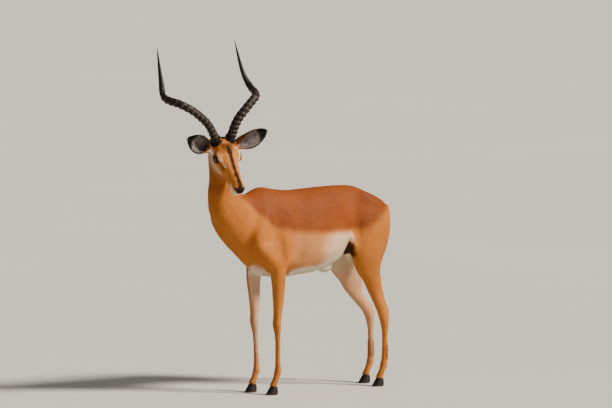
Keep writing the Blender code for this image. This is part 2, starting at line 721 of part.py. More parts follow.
neck_point, neck_way = NECK_CUT[0], NECK_CUT[1].normalized()
head_point, head_way = HEAD_CUT
body = thinned(whole_body(), "body", BODY_TRIANGLES, (head_point + head_way * 0.03, head_way))
head = thinned(head_skin(), "head", HEAD_TRIANGLES, (head_point - head_way * 0.03, -head_way))

LEGS = {
    "foreleg_left": dict(side=1, x_range=(0.130, 0.262), inner=0.044, top=0.575, slope=(0.1, 0.7)),
    "foreleg_right": dict(side=-1, x_range=(0.135, 0.275), inner=0.044, top=0.575, slope=(0.1, 0.7)),
    "hind_leg_left": dict(side=1, x_range=(-0.50, -0.160), inner=0.029, top=0.655, slope=(-0.35, 0.7)),
    "hind_leg_right": dict(side=-1, x_range=(-0.50, -0.150), inner=0.029, top=0.655, slope=(-0.35, 0.7)),
}

trunk = new_object("trunk", body.copy(), MATERIALS["coat"], IMPALA)
boolean(trunk, block("trunk_space", [(neck_point, neck_way), TAIL_CUT]), "INTERSECT")
for name, space in LEGS.items():
    leg = new_object(name, body.copy(), MATERIALS["coat"], IMPALA)
    boolean(leg, leg_block(name + "_space", **space, bottom=CORONET_HEIGHT), "INTERSECT")
    boolean(trunk, leg_block(name + "_room", **space, bottom=-0.1, grow=GAP))

neck = new_object("neck", body.copy(), MATERIALS["coat"], IMPALA)
neck_planes = [(neck_point + neck_way * GAP, -neck_way), (head_point - head_way * GAP, head_way)]
boolean(neck, block("neck_space", neck_planes), "INTERSECT")

head_object = new_object("head", head, MATERIALS["coat"], IMPALA)
boolean(head_object, block("head_space", [(head_point, -head_way)]), "INTERSECT")

for side, word in ((1, "left"), (-1, "right")):
    boolean(head_object, drum("horn_land_" + word, *horn_cut(side), 0.034, 0.03))
    ear_place = ear_frame(side)
    ear_way = ear_place.to_3x3() @ Vector((1, 0, 0))
    boolean(head_object, drum("ear_land_" + word, ear_place.translation, ear_way, 0.030, 0.03))
    socket = bmesh.new()
    place = HEAD @ Matrix.Translation((EYE.x, EYE.y * side, EYE.z)) @ Matrix.Rotation(math.pi / 2, 4, "X")
    bmesh.ops.create_uvsphere(
        socket, u_segments=12, v_segments=8, radius=EYE_RADIUS + 1.5 * GAP, matrix=place
    )
    boolean(head_object, cutter("socket_" + word, socket))
    new_object("eye_" + word, eye_mesh(place), MATERIALS["eye"], IMPALA)
    new_object("horn_" + word, horn_mesh(side), MATERIALS["horn"], IMPALA)
    ear = new_object("ear_" + word, ear_mesh(side), MATERIALS["pale"], IMPALA)
    shell = ear.modifiers.new("Thickness", "SOLIDIFY")
    shell.thickness = 0.0035
    shell.offset = 0.0

new_object("tail", tail_mesh(), MATERIALS["pale"], IMPALA)

FEET = {
    "fore_left": (0.213, TRACK),
    "fore_right": (0.213 + RIGHT_FORE_LEAD[0][1], -TRACK),
    "hind_left": (-0.356, TRACK),
    "hind_right": (-0.356 + RIGHT_HIND_LEAD[0][1], -TRACK),
}
for foot, (x, y) in FEET.items():
    for side, word in ((1, "left"), (-1, "right")):
        name = f"claw_{foot}_{word}"
        new_object(name, claw_mesh(Vector((x, y, 0)), side), MATERIALS["hoof"], IMPALA)

# The origin goes to the middle of the footprint, at the soles.
bpy.context.view_layer.update()
graph = bpy.context.evaluated_depsgraph_get()
corners = [Vector(c) for obj in IMPALA.objects for c in obj.evaluated_get(graph).bound_box]
middle_x = (min(c.x for c in corners) + max(c.x for c in corners)) / 2
middle_y = (min(c.y for c in corners) + max(c.y for c in corners)) / 2
for obj in [*IMPALA.objects, *CUTTERS.objects]:
    obj.data.transform(Matrix.Translation((-middle_x, -middle_y, 0)))
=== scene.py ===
import json
import math

import bmesh
import bpy
import numpy as np
from mathutils import Matrix, Vector

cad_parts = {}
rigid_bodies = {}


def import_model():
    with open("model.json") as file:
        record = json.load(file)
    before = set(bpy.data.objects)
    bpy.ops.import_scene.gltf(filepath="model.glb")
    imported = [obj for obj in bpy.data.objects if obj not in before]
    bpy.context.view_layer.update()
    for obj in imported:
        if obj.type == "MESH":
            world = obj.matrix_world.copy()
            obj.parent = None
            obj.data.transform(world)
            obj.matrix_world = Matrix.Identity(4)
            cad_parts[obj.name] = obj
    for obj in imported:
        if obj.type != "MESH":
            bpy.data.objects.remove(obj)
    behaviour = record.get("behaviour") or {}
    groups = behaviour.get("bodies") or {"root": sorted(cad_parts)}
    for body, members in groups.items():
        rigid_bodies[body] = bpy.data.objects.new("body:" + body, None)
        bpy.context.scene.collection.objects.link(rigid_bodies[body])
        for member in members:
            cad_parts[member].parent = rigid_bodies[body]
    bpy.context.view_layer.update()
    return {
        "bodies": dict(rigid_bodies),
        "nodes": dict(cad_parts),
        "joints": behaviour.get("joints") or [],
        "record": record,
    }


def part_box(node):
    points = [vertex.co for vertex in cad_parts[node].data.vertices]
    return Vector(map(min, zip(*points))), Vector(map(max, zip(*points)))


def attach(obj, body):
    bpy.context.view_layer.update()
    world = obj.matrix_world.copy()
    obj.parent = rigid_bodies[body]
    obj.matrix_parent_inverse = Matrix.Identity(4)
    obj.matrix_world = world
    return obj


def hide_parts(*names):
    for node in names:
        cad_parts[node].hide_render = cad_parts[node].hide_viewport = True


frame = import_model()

# ---------------------------------------------------------------- the place
# The ram stands on a plain pale floor that runs on out of sight, under one broad warm lamp from its
# left front and the even light of a pale room. The camera is far away, as for an animal in the open.


def mesh_of(bm, name):
    """The forms in bm as a mesh; bm is let go."""
    mesh = bpy.data.meshes.new(name)
    bm.to_mesh(mesh)
    bm.free()
    return mesh


def placed(name, data):
    """A new object in the scene for a mesh, curve, camera or lamp."""
    obj = bpy.data.objects.new(name, data)
    bpy.context.scene.collection.objects.link(obj)
    return obj


def finish_of(name, roughness, shine=0.5):
    """A new material, with its node tree and its shader."""
    made = bpy.data.materials.new(name)
    made.use_nodes = True
    shader = made.node_tree.nodes["Principled BSDF"]
    shader.inputs["Roughness"].default_value = roughness
    shader.inputs["Specular IOR Level"].default_value = shine
    return made, made.node_tree, shader


def output_of(tree, kind, output, **settings):
    """One output of a new node of this kind."""
    node = tree.nodes.new("ShaderNode" + kind)
    for name, value in settings.items():
        setattr(node, name, value)
    return node.outputs[output]


def noise(tree, source, scale, detail=3.0, stretch=None):
    """Fine unevenness over the places that source gives, finer in some directions if stretched."""
    if stretch:
        turned = tree.nodes.new("ShaderNodeMapping")
        turned.inputs["Scale"].default_value = stretch
        tree.links.new(source, turned.inputs["Vector"])
        source = turned.outputs["Vector"]
    node = tree.nodes.new("ShaderNodeTexNoise")
    node.inputs["Scale"].default_value = scale
    node.inputs["Detail"].default_value = detail
    tree.links.new(source, node.inputs["Vector"])
    return node.outputs["Fac"]


def mix(tree, factor, low, high):
    """A colour between two, each a colour or an output."""
    node = tree.nodes.new("ShaderNodeMix")
    node.data_type = "RGBA"
    for name, value in (("A", low), ("B", high)):
        if isinstance(value, tuple):
            node.inputs[name].default_value = (*value, 1.0)
        else:
            tree.links.new(value, node.inputs[name])
    if isinstance(factor, float):
        node.inputs["Factor"].default_value = factor
    else:
        tree.links.new(factor, node.inputs["Factor"])
    return node.outputs["Result"]


flat = bmesh.new()
bmesh.ops.create_grid(flat, x_segments=1, y_segments=1, size=90.0)
floor = placed("floor", mesh_of(flat, "floor"))
pale, tree, shader = finish_of("pale floor", 0.9)
grain = noise(tree, output_of(tree, "TexCoord", "Object"), 0.6)
tree.links.new(mix(tree, grain, (0.56, 0.545, 0.515), (0.60, 0.585, 0.555)), shader.inputs["Base Color"])
floor.data.materials.append(pale)

world = bpy.data.worlds.new("pale room")
bpy.context.scene.world = world
world.use_nodes = True
world.node_tree.nodes["Background"].inputs["Color"].default_value = (1.0, 0.98, 0.95, 1)
world.node_tree.nodes["Background"].inputs["Strength"].default_value = 0.26

LOOK_AT = Vector((-0.161, -0.059, 0.8235))
azimuth, elevation, far, seen_width = math.radians(146), math.radians(5), 24.0, 2.72
toward_camera = Vector((
    math.sin(azimuth) * math.cos(elevation), -math.cos(azimuth) * math.cos(elevation), math.sin(elevation),
))
camera_data = bpy.data.cameras.new("camera")
camera_data.sensor_width = 36.0
camera_data.lens = camera_data.sensor_width * far / seen_width
camera_data.clip_end = 400.0
camera = placed("camera", camera_data)
camera.location = LOOK_AT + toward_camera * far
camera.rotation_euler = toward_camera.to_track_quat("Z", "Y").to_euler()
bpy.context.scene.camera = camera

lamp_data = bpy.data.lights.new("broad lamp", "SUN")
lamp_data.energy = 7.4
lamp_data.angle = math.radians(11)
lamp_data.color = (1.0, 0.92, 0.80)
lamp = placed("broad lamp", lamp_data)
from_lamp = azimuth + math.radians(73)
toward_lamp = Vector((math.sin(from_lamp) * 0.80, -math.cos(from_lamp) * 0.80, 0.60))
lamp.rotation_euler = toward_lamp.to_track_quat("Z", "Y").to_euler()

# ---------------------------------------------------------------- the body under the coat
# Trunk, neck, head, ears, legs and tail are one living skin over muscle, so they are lofted along the
# spine and each limb, run together, smoothed where muscles meet and drawn in by the depth of the coat.

BODY_VOXEL, HEAD_VOXEL = 0.0052, 0.0019
TRACK = 0.068  # half the distance between left and right feet
RIGHT_FORE_LEAD = [(0.0, 0.022), (0.50, 0.022), (0.62, 0.0)]
RIGHT_HIND_LEAD = [(0.0, -0.020), (0.33, -0.020), (0.385, 0.004), (0.46, 0.026), (0.56, 0.030), (0.72, 0.0)]
RIGHT_THIGH_LEAD = 0.012  # at the fold of the flank
CORONET_HEIGHT = 0.036
HORN_MIDDLE = Vector((0.460, 0.060, 1.143))  # on the forehead, between the horn bases
HEAD_YAW, HEAD_ROLL, FACE_PITCH = math.radians(85), math.radians(3.5), math.radians(57)
EYE, EYE_RADIUS = Vector((0.080, 0.0490, -0.030)), 0.0180
HORN_SPREAD = 0.036
EAR_START, EAR_REACH = -0.006, 0.165  # along the ear: where its leaf starts, and how long it is
AHEAD, UP = Vector((1, 0, 0)), Vector((0, 0, 1))

# x, height of the widest place, top, bottom, half width
TRUNK = [
    (-0.431, 0.780, 0.806, 0.752, 0.018),
    (-0.415, 0.750, 0.828, 0.680, 0.056),
    (-0.370, 0.745, 0.853, 0.640, 0.088),
    (-0.310, 0.750, 0.879, 0.620, 0.101),
    (-0.250, 0.745, 0.902, 0.604, 0.103),
    (-0.190, 0.730, 0.907, 0.586, 0.104),
    (-0.120, 0.710, 0.907, 0.556, 0.116),
    (-0.040, 0.695, 0.904, 0.530, 0.129),
    (0.040, 0.690, 0.900, 0.521, 0.134),
    (0.110, 0.692, 0.899, 0.516, 0.130),
    (0.180, 0.700, 0.909, 0.517, 0.116),
    (0.240, 0.710, 0.917, 0.530, 0.100),
    (0.300, 0.722, 0.896, 0.566, 0.088),
    (0.350, 0.740, 0.866, 0.612, 0.082),
    (0.400, 0.760, 0.850, 0.660, 0.074),
    (0.440, 0.780, 0.846, 0.704, 0.060),
    (0.470, 0.800, 0.846, 0.750, 0.042),
    (0.484, 0.810, 0.832, 0.786, 0.020),
]
# x, y, z, reach toward the throat, reach toward the crest, half width
NECK = [
    (0.270, 0.000, 0.740, 0.120, 0.138, 0.084),
    (0.345, 0.000, 0.790, 0.126, 0.104, 0.080),
    (0.402, 0.000, 0.845, 0.114, 0.086, 0.073),
    (0.426, 0.000, 0.900, 0.090, 0.077, 0.064),
    (0.432, -0.002, 0.955, 0.071, 0.066, 0.057),
    (0.437, -0.005, 1.005, 0.064, 0.060, 0.053),
    (0.442, -0.009, 1.045, 0.060, 0.056, 0.051),
    (0.447, -0.014, 1.080, 0.050, 0.046, 0.045),
    (0.449, -0.018, 1.100, 0.030, 0.028, 0.030),
]
# along the face: x, height of the widest place, top, bottom, half width
SKULL = [
    (-0.052, -0.094, -0.084, -0.104, 0.018),
    (-0.044, -0.088, -0.070, -0.112, 0.034),
    (-0.026, -0.070, -0.042, -0.118, 0.045),
    (0.000, -0.050, -0.012, -0.120, 0.048),
    (0.030, -0.038, 0.001, -0.122, 0.050),
    (0.060, -0.034, 0.005, -0.120, 0.053),
    (0.085, -0.032, 0.004, -0.112, 0.052),
    (0.112, -0.034, 0.000, -0.100, 0.045),
    (0.144, -0.038, -0.002, -0.088, 0.037),
    (0.176, -0.039, -0.002, -0.079, 0.0320),
    (0.206, -0.039, -0.001, -0.071, 0.0290),
    (0.230, -0.037, -0.002, -0.066, 0.0290),
    (0.247, -0.034, -0.008, -0.059, 0.0250),
    (0.256, -0.032, -0.018, -0.049, 0.0150),
]
# down a left leg: x, y, z, reach forward, reach back, half width
FORELEG = [
    (0.232, 0.078, 0.680, 0.066, 0.066, 0.036),
    (0.216, 0.082, 0.620, 0.056, 0.058, 0.038),
    (0.201, 0.084, 0.562, 0.042, 0.046, 0.034),
    (0.195, 0.083, 0.500, 0.033, 0.038, 0.028),
    (0.193, 0.080, 0.430, 0.027, 0.031, 0.0240),
    (0.193, 0.077, 0.370, 0.0215, 0.0245, 0.0205),
    (0.194, 0.075, 0.338, 0.0205, 0.0205, 0.0205),
    (0.195, 0.074, 0.312, 0.0210, 0.0200, 0.0215),
    (0.193, 0.073, 0.284, 0.0165, 0.0185, 0.0180),
    (0.190, 0.072, 0.250, 0.0135, 0.0145, 0.0140),
    (0.188, 0.070, 0.180, 0.0130, 0.0140, 0.0130),
    (0.187, 0.069, 0.125, 0.0140, 0.0155, 0.0145),
    (0.188, 0.068, 0.101, 0.0165, 0.0195, 0.0170),
    (0.194, 0.068, 0.079, 0.0150, 0.0165, 0.0158),
    (0.203, 0.068, 0.057, 0.0145, 0.0150, 0.0160),
    (0.213, 0.068, 0.034, 0.0190, 0.0185, 0.0190),
]
HIND_LEG = [
    (-0.325, 0.045, 0.835, 0.075, 0.060, 0.034),
    (-0.312, 0.066, 0.780, 0.108, 0.098, 0.046),
    (-0.304, 0.076, 0.715, 0.118, 0.104, 0.050),
    (-0.296, 0.080, 0.655, 0.110, 0.096, 0.050),
    (-0.290, 0.082, 0.600, 0.094, 0.084, 0.046),
    (-0.297, 0.081, 0.548, 0.076, 0.064, 0.039),
    (-0.312, 0.079, 0.500, 0.056, 0.044, 0.032),
    (-0.325, 0.077, 0.450, 0.041, 0.030, 0.0255),
    (-0.343, 0.075, 0.400, 0.031, 0.022, 0.0210),
    (-0.364, 0.073, 0.350, 0.025, 0.024, 0.0205),
    (-0.378, 0.072, 0.315, 0.025, 0.026, 0.0215),
    (-0.385, 0.071, 0.283, 0.0215, 0.0215, 0.0200),
    (-0.387, 0.070, 0.240, 0.0155, 0.0170, 0.0150),
    (-0.387, 0.069, 0.180, 0.0140, 0.0150, 0.0138),
    (-0.386, 0.068, 0.125, 0.0150, 0.0165, 0.0150),
    (-0.383, 0.068, 0.101, 0.0175, 0.0200, 0.0172),
    (-0.376, 0.068, 0.079, 0.0155, 0.0170, 0.0160),
    (-0.366, 0.068, 0.057, 0.0148, 0.0152, 0.0160),
    (-0.356, 0.068, 0.034, 0.0190, 0.0185, 0.0190),
]
HOCK_TENDON = [
    (-0.345, 0.078, 0.500, 0.014, 0.014, 0.016),
    (-0.358, 0.077, 0.450, 0.009, 0.009, 0.010),
    (-0.378, 0.075, 0.390, 0.007, 0.008, 0.008),
    (-0.397, 0.073, 0.340, 0.010, 0.010, 0.010),
    (-0.400, 0.072, 0.305, 0.010, 0.009, 0.010),
]
TAIL = [
    (-0.405, 0.0, 0.806, 0.018, 0.014, 0.016),
    (-0.436, 0.0, 0.797, 0.011, 0.012, 0.013),
    (-0.449, 0.0, 0.768, 0.008, 0.009, 0.011),
    (-0.450, 0.0, 0.715, 0.007, 0.008, 0.010),
    (-0.442, 0.0, 0.660, 0.007, 0.008, 0.011),
    (-0.427, 0.0, 0.605, 0.007, 0.008, 0.010),
    (-0.418, 0.0, 0.575, 0.005, 0.006, 0.007),
]


def frame_of_head():
    """The head's own frame: X along the face to the nose, Y to its left, Z out of the forehead."""
    ahead = Vector((math.cos(HEAD_YAW), math.sin(HEAD_YAW), 0.0))
    along = ahead * math.cos(FACE_PITCH) - UP * math.sin(FACE_PITCH)
    out = ahead * math.sin(FACE_PITCH) + UP * math.cos(FACE_PITCH)
    turn = Matrix((along, UP.cross(ahead), out)).transposed().to_4x4()
    return Matrix.Translation(HORN_MIDDLE) @ Matrix.Rotation(HEAD_ROLL, 4, ahead) @ turn


HEAD = frame_of_head()
INTO_HEAD = HEAD.inverted()
THROAT = (
    Vector((0.446, -0.008, 1.045)),
    Vector((math.cos(HEAD_YAW) * 0.75, math.sin(HEAD_YAW) * 0.75, 0.66)).normalized(),
)
# From the axes of these tables to the frame's own: the left eye's place in both gives the step.
eye_low, eye_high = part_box("eye_left")
TO_FRAME = Matrix.Translation((eye_low + eye_high) / 2 - HEAD @ EYE)


def spline(rows, count):
    """Rows of numbers resampled along a Catmull-Rom curve that passes through every row."""
    rows = np.array(rows, float)
    padded = np.vstack([2 * rows[0] - rows[1], rows, 2 * rows[-1] - rows[-2]])
    t = np.linspace(0, len(rows) - 1, count)
    i = np.minimum(t.astype(int), len(rows) - 2)
    s = (t - i)[:, None]
    a, b, c, d = (padded[i + k] for k in range(4))
    return 0.5 * (2 * b + (c - a) * s + (2 * a - 5 * b + 4 * c - d) * s**2 + (3 * b - a - 3 * c + d) * s**3)


def first_ring(bm, sides):
    """A new circle: the layer that keeps each point's turn round it, its points and its edges."""
    turn_of = bm.verts.layers.float.get("turn") or bm.verts.layers.float.new("turn")
    ring = bmesh.ops.create_circle(bm, segments=sides, radius=1.0)["verts"]
    for v in ring:
        v[turn_of] = math.atan2(v.co.y, v.co.x)
    edges = dict.fromkeys(e for v in ring for e in v.link_edges)  # each once, in the same order every time
    return turn_of, ring, list(edges)


def next_ring(bm, edges):
    """The next ring drawn out of the last one's edges: its points and edges."""
    made = bmesh.ops.extrude_edge_only(bm, edges=edges)["geom"]
    ring = [g for g in made if isinstance(g, bmesh.types.BMVert)]
    return ring, [g for g in made if isinstance(g, bmesh.types.BMEdge) and g.is_boundary]


def close_ends(bm):
    bmesh.ops.holes_fill(bm, edges=[e for e in bm.edges if e.is_boundary], sides=0)


def loft(bm, rows, toward, rings=24, sides=20, power=2.0, frame=None, toward_end=None, across=None):
    """A circle drawn along rows of (x, y, z, reach toward, reach away, half width) and capped."""
    table = spline(rows, rings)
    table[:, 3:6] = np.maximum(table[:, 3:6], 0.001)
    path = [Vector(row[:3]) for row in table]
    turn_of, ring, edges = first_ring(bm, sides)
    for i, row in enumerate(table):
        if i:
            ring, edges = next_ring(bm, edges)
        tangent = across or (path[min(i + 1, rings - 1)] - path[max(i - 1, 0)]).normalized()
        facing = Vector(toward).lerp(Vector(toward_end or toward), i / (rings - 1))
        facing = (facing - tangent * facing.dot(tangent)).normalized()
        side = tangent.cross(facing)
        for v in ring:
            c, s = math.cos(v[turn_of]), math.sin(v[turn_of])
            u = math.copysign(abs(c) ** (2 / power), c) * (row[3] if c > 0 else row[4])
            w = math.copysign(abs(s) ** (2 / power), s) * row[5]
            point = path[i] + facing * u + side * w
            v.co = frame @ point if frame else point
    close_ends(bm)


def ball(bm, centre, radii, frame=None):
    place = Matrix.Translation(centre) @ Matrix.Diagonal((*radii, 1.0))
    bmesh.ops.create_icosphere(bm, subdivisions=3, radius=1.0, matrix=frame @ place if frame else place)


def mirrored(rows, leads, bent=0.0):
    """A left limb's rows as a right one, moved forward by the lead at each height."""
    heights, shifts = zip(*leads)
    out = []
    for x, y, z, front, back, half in rows:
        lead = float(np.interp(z, heights, shifts))
        spread = bent * max(lead, 0.0)
        out.append((x + lead - spread, -y, z, front + spread, back + spread, half))
    return out


def section_rows(table):
    return [(x, 0.0, wide, top - wide, wide - low, half) for x, wide, top, low, half in table]


RIGHT_FORELEG = mirrored(FORELEG, RIGHT_FORE_LEAD)
RIGHT_HIND_LEG = mirrored(HIND_LEG, RIGHT_HIND_LEAD, bent=0.8)


def add_shoulder(bm, y):
    """Shoulder blade, upper arm and the muscle behind it."""
    blade = [
        (0.195, 0.036 * y, 0.885, 0.034, 0.040, 0.016),
        (0.232, 0.060 * y, 0.820, 0.052, 0.056, 0.030),
        (0.272, 0.078 * y, 0.745, 0.050, 0.058, 0.033),
        (0.300, 0.084 * y, 0.690, 0.044, 0.050, 0.030),
        (0.305, 0.080 * y, 0.650, 0.028, 0.034, 0.022),
    ]
    upper_arm = [
        (0.318, 0.070 * y, 0.715, 0.026, 0.030, 0.024),
        (0.292, 0.084 * y, 0.668, 0.040, 0.046, 0.032),
        (0.240, 0.090 * y, 0.615, 0.042, 0.050, 0.034),
        (0.196, 0.088 * y, 0.575, 0.032, 0.036, 0.028),
    ]
    triceps = [
        (0.178, 0.074 * y, 0.770, 0.030, 0.026, 0.020),
        (0.172, 0.092 * y, 0.700, 0.044, 0.036, 0.032),
        (0.170, 0.096 * y, 0.635, 0.042, 0.030, 0.030),
        (0.166, 0.090 * y, 0.580, 0.024, 0.018, 0.022),
    ]
    for rows in (blade, upper_arm, triceps):
        loft(bm, rows, (1, 0, 0.2), rings=14, sides=16)


def add_haunch(bm, y):
    """Hip bone, buttock muscle and the fold of skin from the flank to the stifle."""
    hip = [
        (-0.222, 0.054 * y, 0.846, 0.020, 0.030, 0.016),
        (-0.270, 0.066 * y, 0.840, 0.040, 0.050, 0.030),
        (-0.340, 0.066 * y, 0.800, 0.046, 0.050, 0.036),
        (-0.400, 0.056 * y, 0.770, 0.034, 0.040, 0.026),
    ]
    buttock = [
        (-0.396, 0.044 * y, 0.810, 0.030, 0.024, 0.024),
        (-0.390, 0.060 * y, 0.745, 0.040, 0.027, 0.034),
        (-0.370, 0.070 * y, 0.660, 0.040, 0.026, 0.034),
        (-0.348, 0.076 * y, 0.580, 0.030, 0.020, 0.028),
    ]
    fold = [
        (-0.120, 0.098 * y, 0.715, 0.016, 0.016, 0.016),
        (-0.160, 0.098 * y, 0.690, 0.022, 0.022, 0.014),
        (-0.205, 0.096 * y, 0.640, 0.026, 0.026, 0.016),
    ]
    loft(bm, hip, (0, 0, 1), rings=12, sides=16)
    loft(bm, buttock, (1, 0, 0), rings=12, sides=16)
    loft(bm, fold, (1, 0, 0.6), rings=8, sides=12)


def horn_path(side):
    """The horn's axis: up and out from the head, back at the bend, then up to the tip."""
    turned = Matrix.Rotation(HEAD_YAW, 4, "Z") @ Matrix.Rotation(HEAD_ROLL, 4, "X")
    steps = [
        (-0.013, HORN_SPREAD, -0.002),
        (-0.012, 0.073, 0.071),
        (-0.018, 0.131, 0.128),
        (-0.042, 0.186, 0.166),
        (-0.088, 0.211, 0.180),
        (-0.139, 0.217, 0.199),
        (-0.175, 0.205, 0.254),
        (-0.200, 0.198, 0.328),
        (-0.220, 0.193, 0.408),
    ]
    return [HORN_MIDDLE + turned @ Vector((x, out * side, up)) for x, out, up in steps]


def horn_stub_rows(side):
    base = INTO_HEAD @ horn_path(side)[0]
    outward = (INTO_HEAD @ horn_path(side)[1] - base).normalized()
    sizes = ((-0.034, 0.014), (-0.016, 0.020), (-0.002, 0.0208), (0.004, 0.0185), (0.010, 0.0140))
    return [(*(base + outward * s), r * 1.08, r * 1.08, r * 0.94) for s, r in sizes]


def ear_frame(side):
    """The ear's own frame: X to its tip, Z out of its hollow, its origin where it leaves the head."""
    tip = Vector((-0.150, -0.835, 0.530)) if side < 0 else Vector((-0.185, 0.896, 0.405))
    tip.normalize()
    hollow = Vector((0.80, -0.10 * side, 0.60))
    hollow = (hollow - tip * hollow.dot(tip)).normalized()
    turn = Matrix((tip, hollow.cross(tip), hollow)).transposed().to_4x4()
    return HEAD @ Matrix.Translation((0.022, 0.062 * side, -0.046)) @ turn


def ear_stub_rows(side):
    local = INTO_HEAD @ ear_frame(side)
    sizes = ((-0.034, 0.014), (-0.018, 0.0170), (-0.004, 0.0175), (0.006, 0.0165), (0.016, 0.0120))
    return [(*(local @ Vector((x, 0, -0.006))), r, r, r * 0.95) for x, r in sizes]


def ear_section(u):
    """Across the ear, u of the way to its tip: the arc's radius, its half turn, and its middle's height."""
    half_arc = 0.059 * np.sin(np.pi * np.minimum(1.0, 0.30 + 0.70 * u) ** 1.03) ** 0.64
    half_arc = np.maximum(half_arc, 0.0045)
    curl = np.minimum(np.radians(150 * (1 - u) ** 2.2 + 42), math.radians(158))
    radius = half_arc / curl
    return radius, curl, radius * np.cos(curl) + 0.010 * (1 - u) + 0.0072 * np.sin(np.pi * u)


def mesh_left_by(obj):
    """What an object's modifiers make of it, as a mesh of its own; the object goes."""
    graph = bpy.context.evaluated_depsgraph_get()
    mesh = bpy.data.meshes.new_from_object(obj.evaluated_get(graph))
    bpy.data.objects.remove(obj)
    return mesh


def add_ear(bm, side):
    """A cupped leaf, nearly a closed tube at the root and opening to a hollow with a pointed tip."""
    leaf = bmesh.new()
    grid = bmesh.ops.create_grid(leaf, x_segments=60, y_segments=44, size=1.0)["verts"]
    for v in grid:
        u, turn_share = (v.co.x + 1) / 2, v.co.y
        radius, curl, middle = ear_section(u)
        turn = curl * turn_share
        along = EAR_START + EAR_REACH * u
        v.co = Vector((along, radius * math.sin(turn), middle - radius * math.cos(turn)))
    bmesh.ops.recalc_face_normals(leaf, faces=leaf.faces)
    bmesh.ops.transform(leaf, matrix=ear_frame(side), verts=leaf.verts)
    obj = placed("leaf", mesh_of(leaf, "leaf"))
    wall = obj.modifiers.new("Wall", "SOLIDIFY")
    wall.thickness, wall.offset = 0.0042, 0.0
    bm.from_mesh(mesh_left_by(obj))


def add_head(bm, fine):
    loft(bm, section_rows(SKULL), UP, rings=60, sides=40, power=2.25, frame=HEAD, across=AHEAD)
    for y in (1, -1):
        ball(bm, (0.076, 0.040 * y, -0.026), (0.030, 0.020, 0.024), HEAD)  # orbit
        ball(bm, (0.048, 0.030 * y, -0.078), (0.048, 0.018, 0.036), HEAD)  # cheek
        ball(bm, (0.235, 0.0155 * y, -0.024), (0.017, 0.012, 0.016), HEAD)  # nostril wing
        loft(bm, horn_stub_rows(y), (1, 0, 0), rings=8, sides=16, frame=HEAD)
        loft(bm, ear_stub_rows(y), (1, 0, 0), rings=8, sides=16, frame=HEAD)
        if fine:
            add_ear(bm, y)
            ball(bm, (0.236, 0.020 * y, -0.046), (0.020, 0.009, 0.011), HEAD)  # upper lip
            ball(bm, (0.100, 0.040 * y, -0.048), (0.040, 0.008, 0.010), HEAD)  # cheek bone
    ball(bm, (0.232, 0.0, -0.055), (0.020, 0.018, 0.013), HEAD)  # chin


def joined(bm, voxel, name):
    """The overlapping forms as one closed skin."""
    bmesh.ops.recalc_face_normals(bm, faces=bm.faces)
    obj = placed(name, mesh_of(bm, name))
    modifier = obj.modifiers.new("Join", "REMESH")
    modifier.mode, modifier.voxel_size = "VOXEL", voxel
    return mesh_left_by(obj)


def points_of(mesh):
    co = np.empty(len(mesh.vertices) * 3)
    mesh.vertices.foreach_get("co", co)
    return co.reshape(-1, 3)


def normals_of(mesh):
    n = np.empty(len(mesh.vertices) * 3, np.float32)
    mesh.vertex_normals.foreach_get("vector", n)
    return n.reshape(-1, 3).astype(float)


def set_points(mesh, co):
    mesh.vertices.foreach_set("co", np.ascontiguousarray(co, np.float32).ravel())
    mesh.update()


def local(matrix, co):
    """Points co as this matrix moves them."""
    m = np.array(matrix)
    return co @ m[:3, :3].T + m[:3, 3]


def smooth(low, high, x):
    """0 at low and before, 1 at high and after, with a soft rise between."""
    t = np.clip((x - low) / (high - low), 0, 1)
    return t * t * (3 - 2 * t)


def fill_creases(mesh, rounds, free):
    """Rounds the creases where forms meet: hollow places move outwards, then all are evened."""
    co = points_of(mesh)
    count = len(co)
    ends = np.empty(len(mesh.edges) * 2, np.int64)
    mesh.edges.foreach_get("vertices", ends)
    ends = ends.reshape(-1, 2)
    degree = np.bincount(ends.ravel(), minlength=count)[:, None]
    evened = 4
    for step in range(rounds + evened):
        total = np.zeros((count, 3))
        for axis in range(3):
            total[:, axis] = np.bincount(ends[:, 0], co[ends[:, 1], axis], count)
            total[:, axis] += np.bincount(ends[:, 1], co[ends[:, 0], axis], count)
        pull = total / degree - co
        if step < rounds:
            set_points(mesh, co)
            normals = normals_of(mesh)
            outward = np.maximum((pull * normals).sum(1), 0.0)[:, None]
            co = co + 0.5 * outward * normals * free
        else:
            co = co + 0.5 * pull * (0.3 + 0.7 * free)
    set_points(mesh, co)


def about_ear(e):
    """Which points, in an ear's own frame, are no further aside than its leaf reaches."""
    return (np.abs(e[:, 1]) < 0.08) & (np.abs(e[:, 2]) < 0.06)


def ear_share(co):
    """1 on the ears' leaves, 0 on the head."""
    out = np.zeros(len(co))
    for side in (1, -1):
        e = local(ear_frame(side).inverted(), co)
        near = about_ear(e)
        near &= np.linalg.norm(co - np.array(horn_path(side)[0]), axis=1) > 0.032
        out = np.maximum(out, smooth(0.004, 0.018, e[:, 0]) * near)
    return out


bm = bmesh.new()
loft(bm, section_rows(TRUNK), UP, rings=60, sides=40, power=2.15, across=AHEAD)
loft(bm, NECK, (1, 0, 0.3), rings=40, sides=32, toward_end=(0.55, 0.83, 0))
for side in (1, -1):
    loft(bm, FORELEG if side > 0 else RIGHT_FORELEG, (1, 0, 0), rings=64, sides=20)
    loft(bm, HIND_LEG if side > 0 else RIGHT_HIND_LEG, (1, 0, 0), rings=76, sides=20)
    tendon = HOCK_TENDON if side > 0 else mirrored(HOCK_TENDON, RIGHT_HIND_LEAD)
    loft(bm, tendon, (1, 0, 0), rings=16, sides=10)
    add_shoulder(bm, side)
    add_haunch(bm, side)
ball(bm, (-0.105, 0.0, 0.548), (0.055, 0.020, 0.026))  # sheath
ball(bm, (-0.250, 0.0, 0.585), (0.024, 0.026, 0.040))  # scrotum
loft(bm, TAIL, (1, 0, 0), rings=40, sides=16)
add_head(bm, fine=False)
body = joined(bm, BODY_VOXEL, "body")
body_points = points_of(body)
